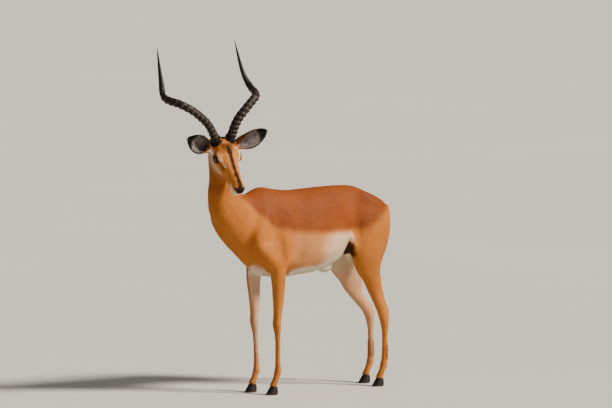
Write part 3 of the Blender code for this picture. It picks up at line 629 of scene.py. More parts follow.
on_tail = smooth(-0.425, -0.440, body_points[:, 0]) * (body_points[:, 2] < 0.80)
fill_creases(body, 48, (1 - on_tail)[:, None])

bm = bmesh.new()
loft(bm, NECK[3:], (0.83, 0.31, 0.19), rings=30, sides=32, toward_end=(0.55, 0.83, 0))
add_head(bm, fine=True)
head = joined(bm, HEAD_VOXEL, "head")
on_ears = ear_share(points_of(head))[:, None]
fill_creases(head, 110, 1 - on_ears)


def cut(mesh, point, way, **dropped):
    """The mesh without what lies on one side of a plane."""
    bm = bmesh.new()
    bm.from_mesh(mesh)
    geom = bm.verts[:] + bm.edges[:] + bm.faces[:]
    bmesh.ops.bisect_plane(bm, geom=geom, dist=1e-6, plane_co=point, plane_no=way, **dropped)
    bm.to_mesh(mesh)
    bm.free()
    return mesh


def thinned(mesh, share):
    """The mesh with that share of its triangles."""
    obj = placed("thinned", mesh)
    thin = obj.modifiers.new("Thin", "DECIMATE")
    thin.ratio = share
    return mesh_left_by(obj)


bm = bmesh.new()
bm.from_mesh(cut(thinned(body, 0.5), *THROAT, clear_outer=True))
bm.from_mesh(cut(head, THROAT[0] + THROAT[1] * 0.003, THROAT[1], clear_inner=True))
bmesh.ops.bridge_loops(bm, edges=[e for e in bm.edges if e.is_boundary])
bmesh.ops.triangulate(bm, faces=bm.faces)
bmesh.ops.recalc_face_normals(bm, faces=bm.faces)
skin_mesh = mesh_of(bm, "impala_skin")

# Muscles show through the thin skin of the sides: each line below is where one of them ends, as places
# along the trunk and above the ground, how wide it is and how far it rises or sinks.


def to_line(points, line):
    """Distance of each point from a line through a few places, and how far along the line it is."""
    best, along = np.full(len(points), 9.0), np.zeros(len(points))
    line = np.array(line, float)
    for k, (a, b) in enumerate(zip(line, line[1:])):
        t = np.clip(((points - a) @ (b - a)) / ((b - a) @ (b - a)), 0, 1)
        d = np.linalg.norm(points - a - t[:, None] * (b - a), axis=1)
        along = np.where(d < best, (k + t) / (len(line) - 1), along)
        best = np.minimum(best, d)
    return best, along


MUSCLE_LINES = [
    ([(0.300, 0.870), (0.330, 0.800), (0.345, 0.720), (0.330, 0.650)], 0.036, -0.0030),  # neck to shoulder
    ([(0.088, 0.870), (0.102, 0.800), (0.108, 0.740), (0.106, 0.680), (0.112, 0.620)], 0.031, -0.0088),
    ([(0.150, 0.870), (0.162, 0.800), (0.168, 0.740), (0.170, 0.680), (0.172, 0.620)], 0.024, 0.0022),
    ([(0.185, 0.800), (0.225, 0.745), (0.272, 0.700), (0.300, 0.640)], 0.022, -0.0030),  # shoulder to arm
    ([(0.215, 0.640), (0.228, 0.600), (0.240, 0.560)], 0.020, -0.0028),
    ([(-0.200, 0.830), (-0.200, 0.800), (-0.200, 0.760), (-0.200, 0.715)], 0.036, -0.0080),  # flank to thigh
    ([(-0.165, 0.815), (-0.135, 0.765)], 0.050, -0.0050),  # the hollow behind the ribs
    ([(-0.385, 0.775), (-0.330, 0.735), (-0.300, 0.690), (-0.290, 0.630)], 0.034, -0.0024),  # rump to thigh
    ([(-0.355, 0.640), (-0.335, 0.560), (-0.335, 0.500)], 0.018, -0.0030),
    ([(-0.172, 0.672), (-0.170, 0.645), (-0.172, 0.615)], 0.010, -0.0110),  # behind the fold of the flank
]
for k in range(6):  # between the ribs
    rib = [(0.075 - 0.035 * k, 0.800 - 0.004 * k), (0.062 - 0.038 * k, 0.720), (0.070 - 0.036 * k, 0.655)]
    MUSCLE_LINES.append((rib, 0.014, -0.0009))

# Lids, nostrils and lips: the skin is drawn in over the nostrils and the mouth, opened over each eye
# and laid close round the eyeball, and the whole of it sinks by the depth of the coat that covers it.


def beyond(p, point, way):
    """How far points p lie beyond a plane."""
    return ((p - np.array(point)) * np.array(way)).sum(1)


co, normal = points_of(skin_mesh), normals_of(skin_mesh)
ears = ear_share(co)
h = local(INTO_HEAD, co)
on_head = smooth(-0.01, 0.03, beyond(co, *THROAT)) * (1 - ears)
low_leg = smooth(0.60, 0.36, co[:, 2])
depth = 0.0030 - 0.0016 * on_head - 0.0012 * low_leg
muzzle = smooth(0.19, 0.235, h[:, 0]) * on_head
depth = (depth - 0.0008 * muzzle) * (1 - ears)
co = co - normal * depth[:, None]
aside = smooth(0.15, 0.70, np.abs(normal[:, 1])) * (1 - on_head)
aside = aside * (np.sign(normal[:, 1]) == np.sign(co[:, 1]))
right_thigh = (co[:, 1] < 0) * smooth(-0.1, -0.16, co[:, 0])
seen_aside = np.stack([co[:, 0] - RIGHT_THIGH_LEAD * right_thigh, co[:, 2]], 1)
rise = np.zeros(len(co))
for line, width, height in MUSCLE_LINES:
    gap, _ = to_line(seen_aside, line)
    rise += height * np.exp(-((gap / width) ** 2))
co = co + normal * (rise * aside)[:, None]
h = local(INTO_HEAD, co)
inward = -normals_of(skin_mesh) @ np.array(INTO_HEAD.to_3x3()).T


def mouth_line(side):
    return [(0.2545, 0.0, -0.0475), (0.250, 0.012 * side, -0.0490), (0.238, 0.0245 * side, -0.0520),
            (0.216, 0.0285 * side, -0.0540), (0.192, 0.0300 * side, -0.0535)]


def nostril(side):
    return [(0.2475, 0.0070 * side, -0.0270), (0.2480, 0.0125 * side, -0.0215),
            (0.2400, 0.0190 * side, -0.0155)]


# the opening between the lids, in radii of the eye: reach, rise, middle's height, droop of its corners
SLIT_REACH, SLIT_RISE, SLIT_UP, SLIT_DROOP = 0.80, 0.60, 0.04, 0.10


def eye_middle(side):
    return Vector((EYE.x, EYE.y * side, EYE.z))


def eye_axes(side):
    """An eye's own directions: out of the head, along its slit, and up."""
    out = np.array([0.16, 0.96 * side, 0.20])
    along = np.array([0.96, -0.16 * side, -0.22])
    along = along - out * (along @ out) / (out @ out)
    along /= np.linalg.norm(along)
    out = out / np.linalg.norm(out)
    return out, along, np.cross(out, along) * -side


def around_eye(points, side):
    """From the middle of an eye: distance, share of the way out to its lids' opening, and outwardness."""
    q = points - np.array(eye_middle(side))
    r = np.linalg.norm(q, axis=1)
    u = q / np.maximum(r, 1e-6)[:, None]
    out, along, high = eye_axes(side)
    a, c = u @ along, u @ high
    c = c - SLIT_UP + SLIT_DROOP * a**2 * np.sign(c)
    return r, np.sqrt((a / SLIT_REACH) ** 2 + (c / SLIT_RISE) ** 2), u @ out, u


for side in (1, -1):
    r, share, outness, u = around_eye(h, side)
    front = (outness > 0.25) & (r < 0.034)
    lid = EYE_RADIUS + 0.0019 + 0.0007 * smooth(1.9, 1.2, share) * smooth(0.9, 1.05, share)
    crease = 0.0012 * np.exp(-(((share - 1.62) / 0.10) ** 2)) * (u[:, 2] > 0.1)
    held = smooth(2.0, 1.3, share)
    wanted = np.where(r < lid, lid, r * (1 - 0.35 * held) + lid * 0.35 * held) - crease
    r_new = np.where(share < 1.0, 0.76 * EYE_RADIUS, wanted)
    moved = np.array(eye_middle(side)) + u * r_new[:, None]
    h = np.where(front[:, None], moved, h)
    gap, along = to_line(h, nostril(side))
    pit = np.clip(1 - (gap / (0.0042 - 0.0012 * along)) ** 2, 0, 1) ** 0.7
    h = h + inward * (0.0060 * pit)[:, None]
    gap, along = to_line(h, mouth_line(side))
    h = h + inward * (0.0022 * np.exp(-((gap / 0.0020) ** 2)) * (1 - 0.5 * along))[:, None]
    lip = np.exp(-(((gap - 0.0052) / 0.0032) ** 2)) * (1 - 0.6 * along)
    h = h - inward * (0.0009 * lip)[:, None]
set_points(skin_mesh, local(HEAD, h))
skin_mesh.shade_smooth()

# Where the coat changes colour: a red-brown saddle over the back, paler tan sides and limbs, white
# below and inside the legs, black ear tips, crown, thigh stripes, tail line and foot tufts, and painted
# shade in the groin crease, on the fronts of the forelegs, behind the eyes and deep in the ears.

MARKS = ("saddle", "white", "black", "dusky", "grey", "bare")
# along the trunk and above the ground
BELLY_LINE = [
    (-0.45, 0.60), (-0.30, 0.66), (-0.20, 0.668), (-0.15, 0.635), (-0.08, 0.585),
    (0.0, 0.560), (0.12, 0.553), (0.24, 0.548), (0.32, 0.545), (0.36, 0.40),
]
SADDLE_LINE = [
    (-0.45, 0.87), (-0.40, 0.815), (-0.31, 0.755), (-0.25, 0.715), (-0.19, 0.712),
    (-0.10, 0.712), (0.0, 0.714), (0.10, 0.722), (0.15, 0.728), (0.20, 0.740),
    (0.255, 0.762), (0.295, 0.798), (0.330, 0.852), (0.40, 0.885), (0.50, 0.905),
]
# the crease of painted shade where the fold of the flank meets the thigh
GROIN_SHADE_LINE = [(-0.174, 0.664), (-0.182, 0.640), (-0.190, 0.600)]
# aside of the tail and above the ground
STRIPE_LINE = [(0.026, 0.806), (0.044, 0.760), (0.056, 0.690), (0.058, 0.610)]
# along the face and half its blaze's width
BLAZE = [(0.0, 0.004), (0.03, 0.008), (0.06, 0.0105), (0.10, 0.0088), (0.16, 0.0082), (0.21, 0.0095),
         (0.235, 0.0110)]
# on the face, in the head's own frame
BROW_LINE = [(0.052, 0.053, -0.014), (0.078, 0.049, -0.009), (0.104, 0.041, -0.013), (0.128, 0.033, -0.016)]
TEAR_LINE = [(0.094, 0.049, -0.030), (0.116, 0.041, -0.029), (0.142, 0.033, -0.030)]
# painted shade behind each eye, toward the ear
SHADE_BEHIND_EYE = [(0.070, 0.052, -0.030), (0.048, 0.052, -0.036)]
EAR_ROOT = (0.034, 0.056, -0.050)


def wobble(p, size, seed=0.0):
    """A slow uneven drift, so that no edge of a marking runs straight."""
    x, y, z = (p / size + seed).T
    return (np.sin(x * 2.1 + 1.3 * np.sin(z * 1.7)) + np.sin(z * 2.9 + 1.1 * np.sin(y * 2.3))
            + np.sin(y * 3.1 + 1.7 * np.sin(x * 1.3))) / 3


def body_marks(p, n, drift):
    """Saddle, white, black and dusky of the trunk, legs and tail; the dusky also holds painted shade in the
    groin crease and on the fronts of the forelegs.
    """
    x, y, z = p.T
    side_y = np.abs(y)
    inner = -n[:, 1] * np.sign(y)  # 1 where a limb's skin faces the other limb

    saddle_z = np.interp(x, *np.array(SADDLE_LINE).T) + 0.010 * drift
    neck_back = smooth(0.34, 0.42, x) * smooth(0.80, 0.90, z)
    saddle = smooth(saddle_z - 0.020, saddle_z + 0.022, z) * (1 - 0.6 * neck_back)

    belly_z = np.interp(x, *np.array(BELLY_LINE).T) + 0.007 * drift
    belly = smooth(belly_z + 0.012, belly_z - 0.012, z) * smooth(0.40, 0.33, x)
    under = smooth(-0.55, -0.85, n[:, 2]) * smooth(0.66, 0.62, z) * (x < 0.30)
    above_knee = np.where(x < -0.15, smooth(0.490, 0.610, z), smooth(0.500, 0.540, z))
    off_thigh = smooth(-0.175, -0.160, x) + smooth(0.050, 0.035, side_y)
    off_thigh = np.clip(off_thigh + smooth(0.0, 0.3, inner) * (x < -0.16), 0, 1)
    off_arm = 1 - (x > 0.12) * (x < 0.30) * smooth(0.045, 0.055, side_y) * smooth(0.35, 0.10, inner)
    below = np.maximum(belly, under) * above_knee * off_thigh * off_arm
    thigh = smooth(0.05, 0.45, inner) * (0.28 + 0.50 * smooth(0.44, 0.60, z))
    thigh = thigh * smooth(0.34, 0.44, z) * smooth(0.70, 0.66, z) * (x < -0.10)
    forearm = smooth(0.10, 0.55, inner) * (0.30 + 0.34 * smooth(0.34, 0.56, z))
    forearm = forearm * smooth(0.04, 0.30, z) * (z < 0.62) * (x > 0.05) * (x < 0.32)
    shin = 0.28 * smooth(-0.1, 0.6, inner) * smooth(0.02, 0.26, z) * smooth(0.50, 0.42, z)
    buttock = smooth(0.052, 0.034, side_y) * smooth(-0.30, -0.34, x) * smooth(0.50, 0.56, z)
    buttock = buttock * (z < 0.80) * (n[:, 0] < 0)
    flank = smooth(saddle_z + 0.004, saddle_z - 0.030, z) * smooth(0.17, 0.08, x)
    flank = flank * smooth(-0.196, -0.180, x) * smooth(-0.5, 0.1, -inner) * (z > 0.5)
    flank = flank * (0.12 + 0.50 * smooth(0.02, -0.10, x + 0.020 * drift))
    white = np.maximum.reduce([below, thigh, forearm, shin, buttock, flank])

    stripe, _ = to_line(np.stack([side_y, z], 1), STRIPE_LINE)
    black = smooth(0.0085, 0.0045, stripe + 0.002 * drift) * smooth(-0.15, -0.40, n[:, 0]) * (x < -0.33)
    tail = smooth(-0.430, -0.437, x) * (side_y < 0.022) * (z < 0.80)
    tail_back = smooth(0.50, 0.80, -n[:, 0]) * smooth(0.59, 0.62, z)
    white = white * (1 - black) * (1 - tail) + tail * (1 - 0.9 * tail_back)
    gland = smooth(0.128, 0.145, z + 0.004 * drift) * smooth(0.205, 0.175, z + 0.006 * drift)
    gland = gland * smooth(0.0, -0.6, n[:, 0]) * (x < -0.2)
    black = np.maximum.reduce([black * (1 - tail), tail * tail_back, gland])

    # painted shade: the crease between the flank fold and the thigh is darkened, and the white drawn back
    # there
    groin_shade, _ = to_line(np.stack([x - RIGHT_THIGH_LEAD * (y < 0), z], 1), GROIN_SHADE_LINE)
    groin_shade = groin_shade - 0.27 * np.maximum(0.670 - z, 0) + 0.002 * drift  # wider below
    groin_shade = smooth(0.006, -0.003, groin_shade) * smooth(0.590, 0.604, z)
    white = white * (1 - 0.9 * groin_shade)
    # painted shade on the forward-facing side of the lower forelegs
    front_of_foreleg_shade = smooth(0.2, 0.8, n[:, 0]) * smooth(0.06, 0.12, z) * smooth(0.42, 0.34, z) * (x > 0)
    foot = smooth(0.090, 0.045, z)
    dusky = np.maximum.reduce([0.30 * foot, 0.92 * groin_shade * (side_y > 0.05), 0.18 * front_of_foreleg_shade])
    return saddle, white, black, dusky


def face_marks(p, face):
    """White, black, dusky and bare of the face, whose share at each point is given; the dusky also holds
    painted shade behind the eyes.
    """
    h = local(INTO_HEAD, p)
    a, b, c = h.T
    side_b = np.abs(b)
    one_side = np.stack([a, side_b, c], 1)
    uneven = 0.0022 * wobble(h, 0.012, 3.0)

    horn_root, lids, bare = np.full(len(p), 9.0), np.full(len(p), 9.0), np.zeros(len(p))
    for side in (1, -1):
        base = np.array(INTO_HEAD @ horn_path(side)[0])
        horn_root = np.minimum(horn_root, np.linalg.norm((h - base) * (0.85, 1, 0.6), axis=1))
        r, share, outness, _ = around_eye(h, side)
        lids = np.where((outness > 0.2) & (r < 0.032), np.minimum(lids, share), lids)
        gap, _ = to_line(h, nostril(side))
        bare = np.maximum(bare, smooth(0.0075, 0.0055, gap))
        gap, _ = to_line(h, mouth_line(side))
        bare = np.maximum(bare, 0.9 * smooth(0.0030, 0.0016, gap))
    pad = smooth(0.0175, 0.0135, side_b + uneven) * smooth(0.2370, 0.2410, a)
    bare = np.maximum(bare, pad * smooth(-0.0385, -0.0345, c) * smooth(-0.008, -0.012, c))

    crown = smooth(-0.002, -0.014, a + uneven) * smooth(0.036, 0.026, side_b) * (c > -0.06)
    dark_root = smooth(0.032, 0.025, horn_root + uneven)
    black = np.maximum.reduce([0.95 * crown * face, dark_root, smooth(1.40, 1.20, lids)])

    half = np.interp(a, *np.array(BLAZE).T)
    blaze = smooth(half + 0.005, half - 0.003, side_b + 1.6 * uneven) * smooth(0.018, 0.040, a) * (c > -0.028)
    forehead = smooth(0.036, 0.020, side_b + 2 * uneven) * smooth(0.012, 0.030, a)
    forehead = forehead * smooth(0.078, 0.050, a + 2 * uneven) * (c > -0.03)
    tear, _ = to_line(one_side, TEAR_LINE)
    behind, _ = to_line(one_side, SHADE_BEHIND_EYE)
    dusky = np.maximum.reduce([
        0.95 * blaze,
        0.70 * forehead,
        0.80 * smooth(0.0075, 0.0015, tear + 1.6 * uneven),
        # painted shade behind the eye
        0.50 * smooth(0.013, 0.005, behind + uneven),
    ])

    lower = smooth(-0.062, -0.078, c + 0.24 * np.maximum(a - 0.15, 0) + uneven) * smooth(-0.02, 0.03, a)
    chin = smooth(0.196, 0.226, a) * smooth(-0.024, -0.033, c + uneven)
    brow, _ = to_line(one_side, BROW_LINE)
    ear_root = np.linalg.norm(one_side - EAR_ROOT, axis=1)
    white = np.maximum.reduce([
        lower * (0.45 + 0.4 * smooth(0.12, 0.19, a)),
        chin,
        0.56 * smooth(0.0078, 0.0020, brow + 1.6 * uneven),
        0.85 * smooth(0.018, 0.010, ear_root + uneven),
    ])
    return white * face * (1 - black) * (1 - dusky), black * face, dusky * face, bare * face


def within_ear(e, facing):
    """In an ear's own frame: distance from its axis in radii, share of its half turn, facing inwards."""
    radius, curl, middle = ear_section(np.clip((e[:, 0] - EAR_START) / EAR_REACH, 0, 1))
    below = middle - e[:, 2]
    inward = (below * facing[:, 2] - e[:, 1] * facing[:, 1]) / radius
    return np.hypot(e[:, 1], below) / radius, np.abs(np.arctan2(e[:, 1], below)) / curl, inward


def ear_marks(p, n, ears, head, drift):
    """White, black, dusky and grey of the ears: grey inside with dark lines and painted shade deep in the
    hollow, tan outside, black tips.
    """
    white, black, dusky, grey = np.zeros((4, len(p)))
    for side in (1, -1):
        place = ear_frame(side)
        e = local(place.inverted(), p)
        facing = n @ np.array(place.to_3x3())
        out, across, _ = e.T
        mine = ears * (out > -0.02) * about_ear(e)
        distance, turn_share, inward = within_ear(e, facing)
        rim_off = smooth(0.78, 0.68, distance) * smooth(-0.40, -0.10, inward)
        inside = mine * np.maximum(smooth(-0.15, 0.30, inward), rim_off)
        upper = (mine - inside) * smooth(0.0, 0.012, across * side) * smooth(0.075, 0.035, out)
        # painted shade: darker deep in the hollow toward the ear's root
        dusky = np.maximum.reduce([dusky, 0.55 * inside * smooth(0.045, 0.005, out), 0.6 * upper])
        tip = smooth(0.112, 0.126, out + 0.22 * np.abs(across) + 0.006 * drift)
        rim = 0.85 * smooth(0.84, 0.93, turn_share) * smooth(0.02, 0.05, out)
        lines = 0.5 + 0.5 * wobble(e * (0.35, 1, 1), 0.0045, 5.0 * side)
        lines = 0.75 * smooth(0.55, 0.80, lines) * smooth(0.01, 0.04, out)
        black = np.maximum.reduce([black, mine * np.maximum(tip, rim), inside * lines])
        from_axis = np.linalg.norm(e[:, 1:] - (0, -0.004), axis=1)
        root = smooth(-0.012, 0.000, out) * smooth(0.022, 0.017, from_axis) * smooth(0.1, 0.5, facing[:, 0])
        grey = np.maximum.reduce([grey, root * head * (1 - ears), inside])
        white = np.maximum(white, 0.6 * inside * smooth(0.06, 0.02, out))
    return white, black, dusky, grey


def marks_at(p, n):
    """How much of each marking there is at points p, where the skin faces n."""
    ears = ear_share(p)
    head = smooth(-0.004, 0.010, beyond(p, *THROAT))
    drift = wobble(p, 0.05)
    saddle, *body = (amount * (1 - head) * (1 - ears) for amount in body_marks(p, n, drift))
    *face, bare = face_marks(p, head * (1 - ears))
    *ear, grey = ear_marks(p, n, ears, head, drift)
    white, black, dusky = (np.maximum.reduce(amounts) for amounts in zip(body, face, ear))
    return np.clip(np.stack([saddle, white, black, dusky, grey, bare], 1), 0, 1)


def write_amount(mesh, name, amount):
    layer = mesh.attributes.new(name, "FLOAT", "POINT")
    layer.data.foreach_set("value", np.ascontiguousarray(amount, np.float32))


def write_marks(mesh, marks):
    for name, amount in zip(MARKS, marks.T):
        write_amount(mesh, name, amount)


write_marks(skin_mesh, marks_at(points_of(skin_mesh), normals_of(skin_mesh)))

# The skin laid out flat: each limb, the neck and the head unrolled along its own length, so that the
# hair's fine streaks run with the lie of the coat.

NECK_START = (0.355, 0.0, 0.80), (0.863, 0.0, 0.505)  # a point of the plane, and its way


def unrolled(p, n):
    """Which sheet a point of the skin belongs to, how far round and how far along it lies."""
    x, y, z = p.T
    h = local(INTO_HEAD, p)
    spine_z = np.interp(x, [row[0] for row in TRUNK], [row[1] for row in TRUNK])
    sheet, turn, along = np.zeros(len(p), int), np.arctan2(y, z - spine_z), x + 0.50

    def put(where, number, new_turn, new_along):
        nonlocal sheet, turn, along
        sheet = np.where(where, number, sheet)
        turn = np.where(where, new_turn, turn)
        along = np.where(where, new_along, along)

    def round_middle(rows):
        """How far round the middle line of a limb's rows, at each point's height."""
        middle_x, middle_y, heights = np.array(rows).T[:3]
        return np.arctan2(y - np.interp(z, heights, middle_y), x - np.interp(z, heights, middle_x))

    put(beyond(p, *NECK_START) > 0, 1, round_middle(NECK), (z - 0.55) / 0.6)
    put(beyond(p, *THROAT) > 0, 2, np.arctan2(h[:, 1], h[:, 2] + 0.045), (h[:, 0] + 0.09) / 0.38)
    fore, hind = (z < 0.56) & (x > 0.02), (z < 0.60) & (x < -0.17)
    for number, sign, near, rows in ((3, 1, fore, FORELEG), (4, -1, fore, RIGHT_FORELEG),
                                     (5, 1, hind, HIND_LEG), (6, -1, hind, RIGHT_HIND_LEG)):
        put(near & (y * sign > 0.005), number, round_middle(rows[::-1]), z / 0.65)
    put((x < -0.434) & (np.abs(y) < 0.024) & (z < 0.80), 7, np.arctan2(y, x + 0.446), (0.82 - z) / 0.30)
    for number, side in ((8, 1), (10, -1)):
        place = ear_frame(side)
        e = local(place.inverted(), p)
        back = (n @ np.array(place.to_3x3()))[:, 2] < 0
        put((e[:, 0] > 0.008) & about_ear(e), number + back, e[:, 1] * math.pi / 0.065, e[:, 0] / 0.17)
    return sheet, turn, along


# lowest corner and size of each sheet: trunk, neck, head, four legs, tail, ears' insides and backs
SHEETS = np.array([
    (0.02, 0.02, 0.50, 0.46), (0.56, 0.02, 0.20, 0.30), (0.56, 0.36, 0.42, 0.36), (0.02, 0.53, 0.10, 0.42),
    (0.14, 0.53, 0.10, 0.42), (0.26, 0.53, 0.12, 0.42), (0.40, 0.53, 0.12, 0.42), (0.80, 0.02, 0.06, 0.30),
    (0.56, 0.76, 0.09, 0.20), (0.67, 0.76, 0.09, 0.20), (0.78, 0.76, 0.09, 0.20), (0.89, 0.76, 0.09, 0.20),
])


def flat_places(sheet, turn, along):
    box = SHEETS[sheet]
    return np.stack([box[:, 0] + (turn / (2 * math.pi) + 0.5) * box[:, 2],
                     box[:, 1] + np.clip(along, 0, 1) * box[:, 3]], 1)


def write_maps(mesh, places):
    """The same flat places as the map of the coat's streaks and as the one to bake on."""
    for name in ("lie", "OFBake"):
        layer = mesh.uv_layers.new(name=name)
        layer.data.foreach_set("uv", np.ascontiguousarray(places.reshape(-1), np.float32))


def triangles_of(mesh):
    corners = np.empty(len(mesh.loops), np.int64)
    mesh.loops.foreach_get("vertex_index", corners)
    return corners.reshape(-1, 3)


def lay_flat(mesh, normal):
    """Writes the unrolled places as the mesh's flat maps, face by face, so that no face spans a seam."""
    co, tris = points_of(mesh), triangles_of(mesh)
    middle, facing = co[tris].mean(1), normal[tris].mean(1)
    sheet, turn, along = unrolled(middle, facing)
    places = np.empty((len(tris), 3, 2))
    for k, apart in enumerate(((0.0004, 0.0), (0.0, 0.0004), (-0.0004, 0.0))):
        own_sheet, own_turn, own_along = unrolled(middle + (co[tris[:, k]] - middle) * 0.999, facing)
        off = own_sheet != sheet  # a corner past a seam lies by its face's middle instead
        own_turn, own_along = np.where(off, turn, own_turn), np.where(off, along, own_along)
        own_turn = own_turn - 2 * math.pi * np.round((own_turn - turn) / (2 * math.pi))
        places[:, k] = flat_places(sheet, own_turn, own_along) + off[:, None] * np.array(apart)
    write_maps(mesh, places)


lay_flat(skin_mesh, normals_of(skin_mesh))


def band(tree, value, low, high):
    """0 where a value is at low, 1 where it is at high."""
    node = tree.nodes.new("ShaderNodeMapRange")
    node.inputs["From Min"].default_value = low
    node.inputs["From Max"].default_value = high
    tree.links.new(value, node.inputs["Value"])
    return node.outputs["Result"]


def roughen(tree, shader, height, strength, distance):
    """Makes a shader's surface as uneven as a height says."""
    bump = tree.nodes.new("ShaderNodeBump")
    bump.inputs["Strength"].default_value = strength
    bump.inputs["Distance"].default_value = distance
    tree.links.new(height, bump.inputs["Height"])
    tree.links.new(bump.outputs["Normal"], shader.inputs["Normal"])


def coat_finish():
    """Hair and skin: tan, with each marking mixed in by its amount, and fine streaks along the lie."""
    made, tree, shader = finish_of("impala coat", 0.56)
    amount = {name: output_of(tree, "Attribute", "Fac", attribute_name=name) for name in MARKS}
    body_place = output_of(tree, "TexCoord", "Object")
    patches = band(tree, noise(tree, body_place, 9.0, 2.0), 0.35, 0.65)
    strands = band(tree, noise(tree, body_place, 420.0, 2.0), 0.30, 0.75)
    tan = mix(tree, patches, (0.47, 0.142, 0.022), (0.53, 0.174, 0.030))
    red = mix(tree, patches, (0.185, 0.0345, 0.0052), (0.232, 0.0465, 0.0070))
    colour = mix(tree, amount["saddle"], tan, red)
    colour = mix(tree, strands, colour, mix(tree, 0.15, colour, (0.68, 0.29, 0.08)))
    for name, tone in (
        ("white", (0.80, 0.67, 0.49)),
        ("grey", (0.215, 0.180, 0.175)),
        ("dusky", (0.007, 0.0035, 0.0022)),
        ("black", (0.006, 0.005, 0.0045)),
        ("bare", (0.009, 0.0085, 0.009)),
    ):
        colour = mix(tree, amount[name], colour, tone)
    tree.links.new(colour, shader.inputs["Base Color"])
    sheen = tree.nodes.new("ShaderNodeMapRange")  # dusky hair and painted shade shine less
    sheen.inputs["To Min"].default_value = 0.10
    sheen.inputs["To Max"].default_value = 0.04
    tree.links.new(amount["dusky"], sheen.inputs["Value"])
    tree.links.new(sheen.outputs["Result"], shader.inputs["Specular IOR Level"])
    lie = output_of(tree, "UVMap", "UV", uv_map="lie")
    roughen(tree, shader, noise(tree, lie, 1.0, stretch=(520.0, 46.0, 1.0)), 0.35, 0.0014)
    return made


COAT = coat_finish()


def settled(name, mesh, finish, slot, *nodes):
    """Puts a finished mesh, still in the tables' axes, in its place on the frame."""
    mesh.transform(TO_FRAME)
    mesh.materials.clear()
    mesh.materials.append(finish)
    piece = placed(name, mesh)
    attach(piece, "root")
    if nodes:
        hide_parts(*nodes)
    return piece


FLESH = ("trunk", "neck", "head", "foreleg_left", "foreleg_right", "hind_leg_left", "hind_leg_right",
         "ear_left", "ear_right", "tail")
skin_points, skin_normals, skin_tris = points_of(skin_mesh), normals_of(skin_mesh), triangles_of(skin_mesh)
settled("impala_skin", skin_mesh, COAT, "coat", *FLESH)

# ---------------------------------------------------------------- the coat
# An impala's coat is short, sleek and flat: fine tufts of hair that start in the skin, lie back over
# one another from the nose to the tail and down the limbs, and end at the outline of the body.

rng = np.random.default_rng(7)
FULL = 1.0
ROOT_DEPTH = 0.0012  # how far below the skin a tuft starts


def swayed(way, other, share):
    """The lie of the hair with a share of another way in it."""
    return way * (1 - share) + np.array(other) * share


def lie_at(p, n):
    """The way the hair lies at points p, along the skin that faces n."""
    x, y, z = p.T
    h = local(INTO_HEAD, p)
    backward, none = -np.ones(len(p)), np.zeros(len(p))
    way = np.stack([backward, none, -0.35 * smooth(0.85, 0.60, z)], 1)
    rump = smooth(-0.30, -0.42, x)[:, None]
    haunch = (smooth(-0.16, -0.26, x) * smooth(0.86, 0.70, z))[:, None] * 0.6
    leg = smooth(0.66, 0.50, z) * (np.abs(y) > 0.035) * ((x > 0.10) | (x < -0.17))
    leg = np.maximum(leg, smooth(0.50, 0.46, z))[:, None]
    neck = (smooth(0.28, 0.42, x) * (z > 0.6))[:, None]
    way = swayed(way, (-0.25, 0, -1.0), rump)
    way = swayed(way, (-0.45, 0, -1.0), haunch)
    way = swayed(way, (-0.12, 0, -1.0), leg)
    way = swayed(way, (-0.30, 0, -1.0), neck)
    outward = 0.5 * np.sign(h[:, 1]) * smooth(0.12, 0.02, h[:, 0])
    face = np.stack([backward, outward, -0.25 * smooth(0.0, -0.05, h[:, 2])], 1)
    way = swayed(way, face @ np.array(HEAD.to_3x3()).T, smooth(-0.02, 0.02, beyond(p, *THROAT))[:, None])
    for side in (1, -1):
        to_tip = np.array(ear_frame(side).to_3x3())[:, 0]
        way = swayed(way, to_tip, ear_share(p)[:, None] * (h[:, 1:2] * side > 0))
    way = way - n * (way * n).sum(1)[:, None]
    return way / np.maximum(np.linalg.norm(way, axis=1), 1e-6)[:, None]


def hair_at(p):
    """Length, width and tufts per square metre of the coat at points p."""
    head = smooth(-0.01, 0.02, beyond(p, *THROAT))
    fore = head * smooth(0.02, 0.16, local(INTO_HEAD, p)[:, 0])
    leg = smooth(0.62, 0.40, p[:, 2])
    foot = smooth(0.12, 0.06, p[:, 2])
    length = 0.0135 - 0.0065 * head - 0.0020 * fore - 0.0055 * leg * (1 - head) - 0.001 * foot
    width = 0.0026 - 0.0013 * head - 0.0010 * leg * (1 - head)
    many = 128e3 * (1 - head) * (1 - leg) + 330e3 * head + 230e3 * leg * (1 - head)
    return length, width, many


corners = [skin_points[skin_tris[:, k]] for k in range(3)]
areas = 0.5 * np.linalg.norm(np.cross(corners[1] - corners[0], corners[2] - corners[0]), axis=1)


def roots(share, where):
    """Random places on the skin, so many to the square metre, with the skin's direction there."""
    wanted = areas * share * FULL * where
    count = np.floor(wanted + rng.random(len(wanted))).astype(int)
    tri = np.repeat(np.arange(len(wanted)), count)
    a, b = rng.random(len(tri)), rng.random(len(tri))
    a, b = np.where(a + b > 1, 1 - a, a), np.where(a + b > 1, 1 - b, b)
    weights = np.stack([1 - a - b, a, b], 1)
    p = (skin_points[skin_tris[tri]] * weights[:, :, None]).sum(1)
    n = (skin_normals[skin_tris[tri]] * weights[:, :, None]).sum(1)
    return p, n / np.linalg.norm(n, axis=1)[:, None]


